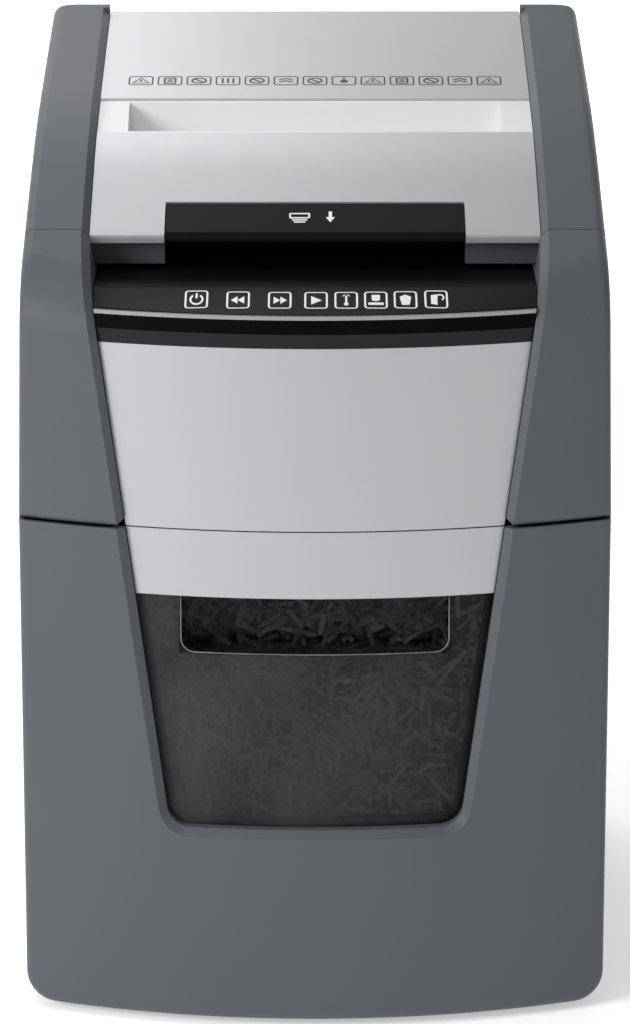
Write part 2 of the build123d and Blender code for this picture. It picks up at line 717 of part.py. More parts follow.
def control_skirt():
    """Dark band under the display."""
    return upright_band(PANEL_TOP, SKIRT_TOP, RECESS_DEPTH, RECESS_DEPTH + PANEL_THICK)


def upright_band(low, high, first, second):
    """Bowed upright band between two heights and two insets, as wide as the recess."""
    band = plan_form(first) - plan_form(second)
    return band & recess(-PANEL_GAP, HEAD_FLOOR) & slab_z(low, high) & slab_y(-DEPTH, 0)


def display_band():
    """Glossy band over the display."""
    return upright_band(SKIRT_TOP, DISPLAY_TOP, RECESS_DEPTH, RECESS_DEPTH + PANEL_THICK)


def control_trim():
    """Thin pale strip along the front edge of the key field."""
    return upright_band(DISPLAY_TOP, TRIM_TOP, RECESS_DEPTH - 0.3, RECESS_DEPTH + PANEL_THICK)


def control_panel():
    """Key field sloping up to the shelf under the lid's lip, with the shelf itself."""
    half_front = recess_half(TRIM_TOP) - PANEL_GAP
    half_back = recess_half(SHELF_Z) - PANEL_GAP
    side_y = bow_y(half_front, RECESS_DEPTH)
    front = ThreePointArc((-half_front, side_y, TRIM_TOP), (0, Y_FRONT + RECESS_DEPTH, TRIM_TOP),
                          (half_front, side_y, TRIM_TOP))
    back = Line((-half_back, SHELF_Y, SHELF_Z), (half_back, SHELF_Y, SHELF_Z))
    surface = Face.make_surface_from_curves(front.edge(), back.edge())
    field = Solid.extrude(surface, Vector(0, 0, -PANEL_THICK)) & plan_form(RECESS_DEPTH + PANEL_THICK)
    shelf = block(-half_back, half_back, SHELF_Y, APRON_Y + 4, SHELF_Z - PANEL_THICK, SHELF_Z)
    middle = block(-POCKET_HALF - 4, POCKET_HALF + 4, APRON_Y, POCKET_BACK + 3, SHELF_Z - PANEL_THICK, SHELF_Z)
    return field + shelf + middle


def display_board():
    """Circuit board under the key field on four posts."""
    low, high = SHELF_Z - 16.0, SHELF_Z - 14.4
    back = TRAY_FRONT - TRAY_WALL - 1.0
    board = block(-SLOT_HALF + 20, SLOT_HALF - 20, SHELF_Y + 2, back, low, high)
    for x in (-SLOT_HALF + 26, SLOT_HALF - 26):
        for y in (SHELF_Y + 7, back - 5):
            board = board + rod_z(high, SHELF_Z - PANEL_THICK, x, y, 2.5)
    return board


def feed_tray():
    """Deck under the lid with the sunk paper chamber, its feed slot and roller windows."""
    deck = lid_sweep(SEAM_R - 2.0, -LID_GAP / 2 - 3.0) - lid_sweep(SEAM_R - 1.0, -LID_GAP / 2)
    deck = deck & head_body(WALL + 0.3) & slab_y(POCKET_BACK + 4, HINGE_Y - 10)
    wall_top = part_z(HINGE_Y)
    chamber = block(-TRAY_HALF - TRAY_WALL, TRAY_HALF + TRAY_WALL, TRAY_FRONT - TRAY_WALL, TRAY_BACK + TRAY_WALL,
                    TRAY_FLOOR_Z - 3.0, wall_top)
    room = block(-TRAY_HALF, TRAY_HALF, TRAY_FRONT, TRAY_BACK, TRAY_FLOOR_Z, 900)
    below_shelf = block(-WIDTH, WIDTH, Y_FRONT, POCKET_BACK + 4, SHELF_Z - PANEL_THICK - 0.3, 900)
    tray = (chamber - lid_sweep(2 * SEAM_R, -LID_GAP / 2) - below_shelf) + deck - room
    slot = block(-SLOT_HALF, SLOT_HALF, SLOT_Y - 6, SLOT_Y + 6, 0, TRAY_FLOOR_Z + 1)
    tray = tray - slot
    half_window = math.sqrt(PICKUP_R ** 2 - (TRAY_FLOOR_Z - 3.0 - PICKUP_Z) ** 2) + 1.5
    for x in roller_places():
        for y in (PICKUP_FRONT[0], PICKUP_REAR[0]):
            tray = tray - block(x - ROLLER_WIDTH / 2 - 1.5, x + ROLLER_WIDTH / 2 + 1.5, y - half_window,
                                y + half_window, 0, TRAY_FLOOR_Z + 1)
    return tray


def roller_places():
    """Middles of the feed rollers along their shafts."""
    return [SLOT_HALF * share for share in (-0.7, -0.26, 0.26, 0.7)]


def rear_panel():
    """Plate in the back wall with vents, the mains switch and the cable gland."""
    half, low, high = REAR_PANEL_HALF, REAR_PANEL_LOW, REAR_PANEL_HIGH
    plate = block(-half + 0.3, half - 0.3, Y_BACK - WALL, Y_BACK - 0.4, low + 0.3, high - 0.3)
    flange = block(-half - 5, half + 5, Y_BACK - WALL - 2, Y_BACK - WALL, low - 5, high + 5)
    panel = plate + flange
    for row in range(VENT_COUNT):
        z = high - 20 - row * 8.0
        panel = panel - block(10, half - 15, Y_BACK - 10, Y_BACK + 1, z - 2, z + 2)
    panel = panel - block(SWITCH_X - 8, SWITCH_X + 8, Y_BACK - 10, Y_BACK + 1, SWITCH_Z - 12.5, SWITCH_Z + 12.5)
    return panel - rod_y(Y_BACK - 10, Y_BACK + 1, GLAND_X, SWITCH_Z, 6.0)


ROCKER_PIVOT = (Y_BACK - 5.5, SWITCH_Z)
ROCKER_R = 10.2
ROCKER_FACE = 4.0
ROCKER_ANGLE = 20.0


def switch_bezel():
    """Frame of the mains switch, open in the middle for the rocker."""
    flange = block(SWITCH_X - 10, SWITCH_X + 10, Y_BACK - 0.4, Y_BACK, SWITCH_Z - 14.5, SWITCH_Z + 14.5)
    body = block(SWITCH_X - 7.9, SWITCH_X + 7.9, Y_BACK - 17, Y_BACK - 0.4, SWITCH_Z - 12.4, SWITCH_Z + 12.4)
    room = rod_x(SWITCH_X - 6.3, SWITCH_X + 6.3, ROCKER_PIVOT, ROCKER_R + 0.4)
    mouth = block(SWITCH_X - 6.3, SWITCH_X + 6.3, ROCKER_PIVOT[0], Y_BACK + 5, SWITCH_Z - ROCKER_R - 0.4,
                  SWITCH_Z + ROCKER_R + 0.4)
    bore = rod_x(SWITCH_X - 7.2, SWITCH_X + 7.2, ROCKER_PIVOT, 1.2 + FIT)
    return flange + body - room - mouth - bore


def power_switch():
    """Rocker of the mains switch with its two pivot stubs, lower half pressed in."""
    disc = rod_x(SWITCH_X - 6.0, SWITCH_X + 6.0, ROCKER_PIVOT, ROCKER_R)
    y, z = ROCKER_PIVOT
    middle = (y + ROCKER_FACE, z)
    cut = prism_x([middle, polar(middle, 30.0, 90.0), (y + 40, z + 30), (y + 40, z - 30),
                   polar(middle, 30.0, -90.0 - ROCKER_ANGLE)], SWITCH_X - 10, SWITCH_X + 10)
    stubs = rod_x(SWITCH_X - 7.0, SWITCH_X + 7.0, ROCKER_PIVOT, 1.2)
    return (disc - cut) + stubs


def cord_gland():
    """Strain relief where the mains lead enters; the lead itself isn't part of the object."""
    body = rod_y(Y_BACK - 14, Y_BACK - 0.4, GLAND_X, SWITCH_Z, 5.9)
    collar = rod_y(Y_BACK - WALL - 5, Y_BACK - WALL - 2, GLAND_X, SWITCH_Z, 9.0)
    return body + collar - rod_y(Y_BACK - 20, Y_BACK + 1, GLAND_X, SWITCH_Z, 3.6)


# ------------------------------------------------------------------ works
FRAME_FRONT = SLOT_Y - 60.0
FRAME_FOOT = 12.0


def side_frame(sign, back):
    """Steel side plate of the works with a foot; sign is -1 on the left, 1 on the right."""
    top = TRAY_FLOOR_Z - 3.5
    plate = block(sign * FRAME_X, sign * FRAME_OUT, FRAME_FRONT, back, BASE_TOP, top)
    foot = block(sign * FRAME_X, sign * (FRAME_OUT + FRAME_FOOT), FRAME_FRONT, back, BASE_TOP, BASE_TOP + 2.5)
    plate = plate + foot
    x0, x1 = sign * (FRAME_X - 5), sign * (FRAME_OUT + 30)
    low, high = min(x0, x1), max(x0, x1)
    for centre in (CUTTER_FRONT, CUTTER_REAR):
        plate = plate - rod_x(low, high, centre, JOURNAL_R + 4 + FIT)
    for centre in (PICKUP_FRONT, PICKUP_REAR):
        plate = plate - rod_x(low, high, centre, PICKUP_SHAFT_R + FIT)
    for centre in tie_places():
        plate = plate - rod_x(low, high, centre, 3.0 + FIT)
    return plate


def tie_places():
    """Where the bars between the side plates run."""
    low, high = CUTTER_Z - 33.0, CUTTER_Z + 37.0
    near, far = SLOT_Y - 53.0, SLOT_Y + 53.0
    return [(near, low), (near, high), (far, low), (far, high)]


def cutter_frame_left():
    """Left side plate with the axles of the feed idlers."""
    plate = side_frame(-1, SLOT_Y + 65.0)
    for centre, reach in ((IDLER_FRONT, GEAR_A + 9.0), (IDLER_REAR, GEAR_B + 9.0)):
        plate = plate + rod_x(-reach, -FRAME_OUT + 0.5, centre, 3.0)
    return plate


GEAR_A = FRAME_OUT + 1.5   # inner face of the gears next to a side plate
GEAR_B = GEAR_A + 10.0     # inner face of the gears outside them
GEAR_C = GEAR_B + 12.0     # first reduction, on the right


def cutter_frame_right():
    """Right side plate, which also carries the motor and the intermediate axle."""
    plate = side_frame(1, MOTOR[0] + MOTOR_R + 6.0)
    plate = plate - rod_x(FRAME_X - 5, FRAME_OUT + 5, MOTOR, 6.0)
    return plate + rod_x(FRAME_OUT - 0.5, GEAR_C + 8.0, INTERMEDIATE, 4.0)


def tie_bars():
    """Steel bars between the side plates, each with a turned end in its hole."""
    bars = []
    for centre in tie_places():
        bar = rod_x(-FRAME_X, FRAME_X, centre, 5.0)
        bars.append(bar + rod_x(-FRAME_OUT - 2, FRAME_OUT + 2, centre, 3.0))
    return group(bars)


def shaft_bushes():
    """Bearing bushes of the two cutter shafts in the side plates."""
    bushes = []
    for centre in (CUTTER_FRONT, CUTTER_REAR):
        for sign in (-1, 1):
            ring = rod_x(sign * (FRAME_X - 2), sign * (FRAME_OUT + 1), centre, JOURNAL_R + 4)
            ring = ring + rod_x(sign * (FRAME_X - 2), sign * FRAME_X, centre, JOURNAL_R + 6)
            bushes.append(ring - rod_x(-WIDTH, WIDTH, centre, JOURNAL_R + FIT))
    return group(bushes)


def cutter_shaft(centre, left, right):
    """Cutter shaft with turned journals at both ends."""
    return rod_x(-FRAME_X + 3, FRAME_X - 3, centre, SHAFT_R) + rod_x(-left, right, centre, JOURNAL_R)


def cutter_discs(centre, shift, lead, turn):
    """All the discs on one shaft, each turned a little against its neighbour."""
    return group([cutter_disc(centre, x, lead + turn * k) for k, x in enumerate(disc_places(shift))])


def stripper_comb(centre, shift, side):
    """Comb whose fingers reach between the discs; side is -1 in front, 1 behind."""
    y = centre[0]
    z = centre[1]
    bar = block(-FRAME_X, FRAME_X, y + side * 31, y + side * 37, z - 18, z + 14)
    edges = disc_places(shift)
    for left, right in zip(edges, edges[1:]):
        middle = (left + right) / 2
        half = (DISC_STEP - DISC_THICK) / 2 - 0.6
        finger = block(middle - half, middle + half, y + side * (SHAFT_R + 1), y + side * 31.5, z - 12, z + 8)
        bar = bar + finger
    return bar


def pickup_rollers(centre):
    """Rubber feed rollers on one shaft."""
    rollers = []
    for x in roller_places():
        roller = rod_x(x - ROLLER_WIDTH / 2, x + ROLLER_WIDTH / 2, centre, PICKUP_R)
        rollers.append(roller - rod_x(-WIDTH, WIDTH, centre, PICKUP_SHAFT_R + FIT))
    return group(rollers)


def motor_body():
    """Motor can bolted to the right side plate."""
    can = rod_x(FRAME_X - MOTOR_LENGTH, FRAME_X, MOTOR, MOTOR_R)
    can = fillet(can.edges().group_by(Axis.X)[0], 3.0)
    return can - rod_x(FRAME_X - 12, FRAME_X + 1, MOTOR, 4.0 + FIT)


def motor_cover():
    """Fan cover on the motor's free end."""
    x = FRAME_X - MOTOR_LENGTH
    cover = rod_x(x - 18, x, MOTOR, MOTOR_R - 2)
    cover = fillet(cover.edges().group_by(Axis.X)[0], 4.0)
    for turn in range(0, 360, 30):
        at = polar(MOTOR, 19.0, turn)
        cover = cover - rod_x(x - 20, x - 14, at, 3.0)
    return cover


def control_board():
    """Mains board on four posts at the back left."""
    x0, x1 = -SLOT_HALF + 5, -SLOT_HALF + 95
    y0, y1 = SLOT_Y + 95, Y_BACK - 20
    board = block(x0, x1, y0, y1, BASE_TOP + 6, BASE_TOP + 7.6)
    for x in (x0 + 5, x1 - 5):
        for y in (y0 + 5, y1 - 5):
            board = board + rod_z(BASE_TOP, BASE_TOP + 6, x, y, 3.0)
    return board


def board_parts():
    """Transformer, relay and capacitors on the mains board."""
    x0, y0, z = -SLOT_HALF + 5, SLOT_Y + 95, BASE_TOP + 7.6
    parts = [block(x0 + 10, x0 + 40, y0 + 12, y0 + 40, z, z + 24),
             block(x0 + 50, x0 + 66, y0 + 10, y0 + 30, z, z + 15)]
    for k in range(3):
        parts.append(rod_z(z, z + 20, x0 + 55 + 12 * k, y0 + 48, 5.0))
    return group(parts)


def bin_switch():
    """Microswitch that feels whether the bin is in."""
    return block(60, 80, Y_BACK - 25, Y_BACK - 15, HEAD_FLOOR - 7.5, HEAD_FLOOR)


# ------------------------------------------------------------------ lid
def lid_frame():
    """Dark lid shell: rails, side walls, rear rail and the plate under the silver panels."""
    region = lid_sweep(SEAM_R - LID_GAP / 2, LID_GAP / 2)
    inner = lid_sweep(SEAM_R - LID_GAP / 2 - WALL, LID_GAP / 2 - 5)
    shell = (outer_head() - (head_body(WALL) & inner)) & region
    half = RECESS_TOP_HALF
    deep = TOP_RECESS + TOP_PANEL_THICK + 0.2
    cap = (outer_head() - head_body(deep + SUB_PLATE)) & slab_x(half + WALL) & region
    solid = shell + cap
    trough = slab_x(half) - under_top(deep)
    solid = solid - trough
    solid = solid - rail_bevel()
    lip = slab_x(half) & slab_y(-DEPTH, LID_Y + 30)
    solid = solid - (lip - lid_sweep(SEAM_R - LID_GAP / 2 - 3.2, -50))
    solid = solid - rod_x(-LEVER_HALF - 4, LEVER_HALF + 4, lever_pivot(), LEVER_PIN_R + FIT)
    throat = block(-SLOT_HALF - 3, SLOT_HALF + 3, KNEE_Y + SLOT_FRONT + 1, KNEE_Y + SLOT_BACK - 1, 0, 900)
    lever = block(-POCKET_HALF, POCKET_HALF, Y_FRONT, LID_Y + LEVER_LENGTH + 6, 0, 900)
    solid = solid - throat - lever
    curved = lid_sweep(SEAM_R - LID_GAP / 2 - 9.0, LID_GAP / 2) - lid_sweep(SEAM_R - LID_GAP / 2 - 12.0, 0)
    apron = curved & slab_x(RECESS_TOP_HALF - 1.0) & under_top(deep + 1.0) & slab_y(-DEPTH, APRON_Y + 20)
    apron = apron - slab_x(POCKET_HALF)
    gap = rod_x(-WIDTH, WIDTH, (HINGE_Y, HINGE_Z), KNUCKLE_R + 1.0)
    for x in (-HINGE_SPREAD, HINGE_SPREAD):
        clear = KNUCKLE_WIDTH / 2 + 0.4
        solid = solid - (gap & block(x - clear, x + clear, -DEPTH, DEPTH, 0, 900))
        for side in (-1, 1):
            start = x + side * (KNUCKLE_WIDTH / 2 + 0.4)
            end = x + side * (KNUCKLE_WIDTH * 1.5 + 0.4)
            barrel = rod_x(start, end, (HINGE_Y, HINGE_Z), KNUCKLE_R)
            web = block(start, end, HINGE_Y - 3, Y_BACK - 0.5, HINGE_Z, HINGE_Z + 9)
            solid = solid + barrel + web
        solid = solid - rod_x(x - 2 * KNUCKLE_WIDTH, x + 2 * KNUCKLE_WIDTH, (HINGE_Y, HINGE_Z), HINGE_PIN_R + FIT)
    return solid + apron


def top_layer(first, second):
    """Layer between two depths under the lid's top."""
    return under_top(first) - under_top(second)


def lid_rear_panel():
    """Silver panel behind the manual slot."""
    panel = top_layer(TOP_RECESS, TOP_RECESS + TOP_PANEL_THICK) & slab_x(RECESS_TOP_HALF - 0.4)
    panel = panel & slab_y(KNEE_Y + SLOT_BACK, Y_BACK - PANEL_GAP)
    front = [e for e in panel.edges() if e.length > 50 and (e @ 0.5).Y < KNEE_Y + SLOT_BACK + 0.01]
    top = sorted(front, key=lambda e: (e @ 0.5).Z)[-1]
    return fillet(top, 1.6)


def lid_front_panel():
    """Silver panel in front of the manual slot, with the lip and the cut-out for the lever."""
    half = RECESS_TOP_HALF - 0.4
    front = SEAM_R - LID_GAP / 2 - 0.3
    panel = top_layer(TOP_RECESS, TOP_RECESS + TOP_PANEL_THICK) & slab_x(half)
    panel = panel & lid_sweep(front, 0) & slab_y(-DEPTH, KNEE_Y + SLOT_FRONT)
    lip = top_layer(TOP_RECESS, TOP_RECESS + TOP_PANEL_THICK + LIP_DROP) & slab_x(half) & slab_y(-DEPTH, LID_Y + 20)
    lip = lip & (lid_sweep(front, 0) - lid_sweep(front - 2.6, -20))
    cut = block(-LEVER_HALF - 0.6, LEVER_HALF + 0.6, Y_FRONT, LID_Y + LEVER_LENGTH + LEVER_REAR_GAP, 0, 900)
    panel = panel + lip - cut
    return fillet(top_front_edges(panel), LIP_R)


def top_front_edges(solid):
    """Upper edges along X at the lid's front."""
    level = [e for e in solid.edges() if e.length > 20 and abs((e % 0.5).X) > 0.99 and (e @ 0.5).Y < LID_Y + 4]
    highest = max((e @ 0.5).Z for e in level)
    return [e for e in level if (e @ 0.5).Z > highest - 0.5]


def manual_slot_throat():
    """Pale funnel of the manual feed slot, from the lid's top down to the feed slot."""
    front, back = KNEE_Y + SLOT_FRONT, KNEE_Y + SLOT_BACK
    ledge_depth = TOP_RECESS + 1.3
    ledge = top_layer(ledge_depth, TOP_RECESS + TOP_PANEL_THICK + 0.2) & slab_x(RECESS_TOP_HALF - 0.4)
    ledge = ledge & slab_y(front + 0.3, back - 0.3)
    wall = THROAT_WALL
    neck = NECK_WIDTH / 2
    top = KNEE_Z + 30
    end_z = PLATE_Z + PLATE_THICK + PLATE_TRAVEL + 1.5
    neck_z = end_z + 8.0
    fall_f = (top - neck_z) / (KNEE_Z - 6 - neck_z)
    fall_b = (top - neck_z) / (KNEE_Z + 2 - neck_z)
    front_y = SLOT_Y - neck - (SLOT_Y - neck - (front + 1.3 + wall)) * fall_f
    back_y = SLOT_Y + neck + (back - 1.3 - wall - SLOT_Y - neck) * fall_b
    inner = [(front_y, top), (SLOT_Y - neck, neck_z), (SLOT_Y - neck, end_z - 1), (SLOT_Y + neck, end_z - 1),
             (SLOT_Y + neck, neck_z), (back_y, top)]
    outer = [(front_y - wall, top), (SLOT_Y - neck - wall, neck_z), (SLOT_Y - neck - wall, end_z),
             (SLOT_Y + neck + wall, end_z), (SLOT_Y + neck + wall, neck_z), (back_y + wall, top)]
    form = prism_x(outer, -SLOT_HALF - wall, SLOT_HALF + wall) & under_top(ledge_depth)
    form = form & slab_y(front + 1.3, back - 1.3) & throat_taper(wall)
    hollow = prism_x(inner, -SLOT_HALF, SLOT_HALF) & throat_taper(0.0)
    return ledge + form - hollow


def throat_taper(grow):
    """Space between the throat's end walls, which lean inwards on their way down."""
    top, low = KNEE_Z + 30, part_z(SLOT_Y) - 6.0
    wide, narrow = SLOT_HALF + grow, SLOT_HALF - 4.0 + grow
    return prism_y(polygon((-wide, top), (wide, top), (narrow, low), (narrow, 0), (-narrow, 0), (-narrow, low)),
                   -DEPTH, DEPTH)


POST_PLACES = [(0.0, SLOT_Y - 55.0), (0.0, SLOT_Y + 65.0)]
LINER_LIFT = 1.0
LINER_THICK = 2.0


def lid_liner():
    """Black plate that closes the lid from below, with the guides of the pressure plate."""
    layer = lid_sweep(SEAM_R - 14.0, LINER_LIFT) - lid_sweep(SEAM_R, LINER_LIFT + LINER_THICK)
    liner = layer & head_body(WALL + 0.3) & slab_y(POCKET_BACK + 4, HINGE_Y - 8)
    liner = liner - block(-SLOT_HALF - 3, SLOT_HALF + 3, SLOT_Y - 14, SLOT_Y + 20, 0, 900)
    for x, y in POST_PLACES:
        roof = under_top(TOP_RECESS + TOP_PANEL_THICK + 0.2 + SUB_PLATE)
        sleeve = rod_z(part_z(y) + LINER_LIFT, KNEE_Z + 40, x, y, 7.0) & roof
        liner = liner + sleeve - rod_z(0, 900, x, y, 4.0 + 2 * FIT)
    return liner


def pressure_plate():
    """Plate that presses the stack on the feed rollers, with its two guide posts."""
    half = TRAY_HALF - 1.0
    plate = block(-half, half, SLOT_Y - 70, SLOT_Y + 80, PLATE_Z, PLATE_Z + PLATE_THICK)
    plate = fillet(plate.edges().filter_by(Axis.Z), 6.0)
    plate = plate - block(-SLOT_HALF + 4, SLOT_HALF - 4, SLOT_Y - 5, SLOT_Y + 5, 0, 900)
    for x, y in POST_PLACES:
        top = top_z(y, TOP_RECESS + TOP_PANEL_THICK + SUB_PLATE) - PLATE_TRAVEL - 6.0
        plate = plate + rod_z(PLATE_Z + 1, top, x, y, 4.0)
    return plate


def lid_release_lever():
    """Black finger lever in the silver panel's front edge, with its two pivot stubs."""
    front = SEAM_R - LID_GAP / 2 - 0.3
    body = top_layer(TOP_RECESS, TOP_RECESS + LEVER_THICK) & slab_x(LEVER_HALF)
    body = body & lid_sweep(front, 0) & slab_y(-DEPTH, LID_Y + LEVER_LENGTH)
    body = chamfer(top_front_edges(body), LEVER_BEVEL)
    pivot = lever_pivot()
    return body + rod_x(-LEVER_HALF - 3.0, LEVER_HALF + 3.0, pivot, LEVER_PIN_R)


def lever_pivot():
    """Axis of the finger lever at its rear edge."""
    y = LID_Y + LEVER_LENGTH - 3.5
    return (y, top_z(y, TOP_RECESS + TOP_PANEL_THICK + 1.6))


def grip_pocket():
    """Black walls of the finger pocket under the lever."""
    outer = block(-POCKET_HALF - 2.5, POCKET_HALF + 2.5, LID_Y + 6, POCKET_BACK + 2.5, 0, 900)
    inner = block(-POCKET_HALF, POCKET_HALF, Y_FRONT, POCKET_BACK, 0, 900)
    layer = lid_sweep(SEAM_R - LID_GAP / 2 - 12.4, LID_GAP / 2) & under_top(TOP_RECESS + 8.4)
    walls = (outer - inner) & layer
    bore = rod_x(-LEVER_HALF - 20, LEVER_HALF + 20, lever_pivot(), LEVER_PIN_R + FIT)
    return walls - bore


# ------------------------------------------------------------------ writing the parts
FRONT_PHASE = 0.0
SYNC_PHASE = mesh_phase(SYNC, CUTTER_FRONT, FRONT_PHASE, SYNC, CUTTER_REAR)
PINION_PHASE = mesh_phase(DRIVE, CUTTER_REAR, 0.0, DRIVE_PINION, INTERMEDIATE)
MOTOR_PHASE = mesh_phase(REDUCTION, INTERMEDIATE, 0.0, MOTOR_PINION, MOTOR)
IDLER_F_PHASE = mesh_phase(FEED, CUTTER_FRONT, 0.0, IDLER, IDLER_FRONT)
IDLER_R_PHASE = mesh_phase(FEED, CUTTER_REAR, 0.0, IDLER, IDLER_REAR)
PICKUP_F_PHASE = mesh_phase(IDLER, IDLER_FRONT, IDLER_F_PHASE, FEED, PICKUP_FRONT)
PICKUP_R_PHASE = mesh_phase(IDLER, IDLER_REAR, IDLER_R_PHASE, FEED, PICKUP_REAR)


def intermediate_gear():
    """Reduction wheel and pinion in one piece."""
    bore = 4.0 + FIT
    wheel = gear(REDUCTION, INTERMEDIATE, GEAR_C, GEAR_C + 6, bore, 0.0)
    pinion = gear(DRIVE_PINION, INTERMEDIATE, GEAR_B + 2, GEAR_C, bore, PINION_PHASE)
    return wheel + pinion


def motor_pinion():
    """Motor shaft with the first pinion."""
    pinion = gear(MOTOR_PINION, MOTOR, GEAR_C, GEAR_C + 6, 2.0, MOTOR_PHASE)
    return pinion + rod_x(FRAME_X - 11, GEAR_C + 6.5, MOTOR, 4.0)


def left_gear(kind, centre, inner, bore, phase):
    """Feed gear on the left side, outside the given distance."""
    return gear(kind, centre, -inner - 8.0, -inner, bore + FIT, phase)


def right_gear(kind, centre, inner, width, bore, phase):
    """Gear on the right side, outside the given distance."""
    return gear(kind, centre, inner, inner + width, bore + FIT, phase)


def all_parts():
    """Every sub-part under its name."""
    parts = {
        "base_tray": base_tray(),
        "bin_runners": bin_runners(),
        "rubber_feet": rubber_feet(),
        "cabinet_shell": cabinet_shell(),
        "bin_fascia": bin_fascia(),
        "bin_handle_strip": bin_handle_strip(),
        "bin_window": bin_window(),
        "bin_tub": bin_tub(),
        "bin_screws": bin_screws(),
        "paper_shreds": paper_shreds(),
        "head_shell": head_shell(),
        "head_base": head_base(),
        "hinge_pins": hinge_pins(),
        "front_panel": front_panel(),
        "control_skirt": control_skirt(),
        "display_band": display_band(),
        "control_trim": control_trim(),
        "control_panel": control_panel(),
        "display_board": display_board(),
        "feed_tray": feed_tray(),
        "rear_panel": rear_panel(),
        "switch_bezel": switch_bezel(),
        "power_switch": power_switch(),
        "cord_gland": cord_gland(),
        "cutter_frame_left": cutter_frame_left(),
        "cutter_frame_right": cutter_frame_right(),
        "tie_bars": tie_bars(),
        "shaft_bushes": shaft_bushes(),
        "cutter_shaft_front": cutter_shaft(CUTTER_FRONT, GEAR_A + 9, GEAR_A + 10.5),
        "cutter_shaft_rear": cutter_shaft(CUTTER_REAR, GEAR_B + 9, GEAR_C - 1),
        "cutter_discs_front": cutter_discs(CUTTER_FRONT, 0.0, 0.0, 7.0),
        "cutter_discs_rear": cutter_discs(CUTTER_REAR, DISC_STEP / 2, 15.0, -7.0),
        "stripper_comb_front": stripper_comb(CUTTER_FRONT, 0.0, -1),
        "stripper_comb_rear": stripper_comb(CUTTER_REAR, DISC_STEP / 2, 1),
        "sync_gear_front": right_gear(SYNC, CUTTER_FRONT, GEAR_A, 10.0, JOURNAL_R, FRONT_PHASE),
        "sync_gear_rear": right_gear(SYNC, CUTTER_REAR, GEAR_A, 10.0, JOURNAL_R, SYNC_PHASE),
        "drive_gear": right_gear(DRIVE, CUTTER_REAR, GEAR_B + 2, 9.0, JOURNAL_R, 0.0),
        "intermediate_gear": intermediate_gear(),
        "motor_body": group([motor_body(), motor_cover()]),
        "motor_pinion": motor_pinion(),
        "feed_gear_front": left_gear(FEED, CUTTER_FRONT, GEAR_A, JOURNAL_R, 0.0),
        "feed_gear_rear": left_gear(FEED, CUTTER_REAR, GEAR_B, JOURNAL_R, 0.0),
        "idler_front": left_gear(IDLER, IDLER_FRONT, GEAR_A, 3.0, IDLER_F_PHASE),
        "idler_rear": left_gear(IDLER, IDLER_REAR, GEAR_B, 3.0, IDLER_R_PHASE),
        "pickup_gear_front": left_gear(FEED, PICKUP_FRONT, GEAR_A, PICKUP_SHAFT_R, PICKUP_F_PHASE),
        "pickup_gear_rear": left_gear(FEED, PICKUP_REAR, GEAR_B, PICKUP_SHAFT_R, PICKUP_R_PHASE),
        "pickup_shaft_front": rod_x(-GEAR_A - 9, FRAME_OUT + 2, PICKUP_FRONT, PICKUP_SHAFT_R),
        "pickup_shaft_rear": rod_x(-GEAR_B - 9, FRAME_OUT + 2, PICKUP_REAR, PICKUP_SHAFT_R),
        "pickup_rollers_front": pickup_rollers(PICKUP_FRONT),
        "pickup_rollers_rear": pickup_rollers(PICKUP_REAR),
        "control_board": group([control_board(), board_parts()]),
        "bin_switch": bin_switch(),
        "lid_frame": lid_frame(),
        "lid_rear_panel": lid_rear_panel(),
        "lid_front_panel": lid_front_panel(),
        "manual_slot_throat": manual_slot_throat(),
        "lid_liner": lid_liner(),
        "pressure_plate": pressure_plate(),
        "lid_release_lever": lid_release_lever(),
        "grip_pocket": grip_pocket(),
    }
    return parts


os.makedirs("parts", exist_ok=True)
for name, shape in all_parts().items():
    export_step(shape, f"parts/{name}.step")
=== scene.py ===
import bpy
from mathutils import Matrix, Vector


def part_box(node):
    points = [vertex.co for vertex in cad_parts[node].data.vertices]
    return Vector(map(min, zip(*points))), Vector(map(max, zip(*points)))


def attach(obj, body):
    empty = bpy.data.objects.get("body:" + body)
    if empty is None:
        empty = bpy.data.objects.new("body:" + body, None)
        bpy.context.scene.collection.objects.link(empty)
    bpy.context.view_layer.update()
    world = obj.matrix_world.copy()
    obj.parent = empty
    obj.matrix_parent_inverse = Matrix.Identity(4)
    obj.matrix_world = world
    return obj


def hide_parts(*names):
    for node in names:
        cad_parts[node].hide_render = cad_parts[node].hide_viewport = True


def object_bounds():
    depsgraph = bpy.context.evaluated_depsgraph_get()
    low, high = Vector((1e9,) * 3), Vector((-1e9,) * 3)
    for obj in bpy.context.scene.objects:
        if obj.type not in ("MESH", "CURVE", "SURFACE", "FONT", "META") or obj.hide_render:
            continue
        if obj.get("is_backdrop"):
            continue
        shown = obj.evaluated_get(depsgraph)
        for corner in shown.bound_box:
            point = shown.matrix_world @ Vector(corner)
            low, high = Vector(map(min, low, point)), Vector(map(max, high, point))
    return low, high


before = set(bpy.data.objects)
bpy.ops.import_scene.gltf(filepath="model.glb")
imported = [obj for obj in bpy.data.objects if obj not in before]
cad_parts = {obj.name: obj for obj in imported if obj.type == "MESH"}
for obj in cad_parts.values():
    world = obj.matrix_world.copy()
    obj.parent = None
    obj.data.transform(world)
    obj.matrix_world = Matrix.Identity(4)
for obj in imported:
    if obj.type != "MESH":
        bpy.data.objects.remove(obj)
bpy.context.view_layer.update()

import math

import bmesh
import bpy
import numpy as np
from bpy.props import FloatProperty, FloatVectorProperty, IntProperty, PointerProperty
from mathutils import Vector

bl_info = {
    "name": "Paper shredder looks",
    "version": (1, 0, 0),
    "blender": (4, 5, 0),
    "location": "View3D > Sidebar > Shredder",
    "description": "Finishes, printed marks, paper shreds and stage of a desk-side paper shredder",
    "category": "Object",
}

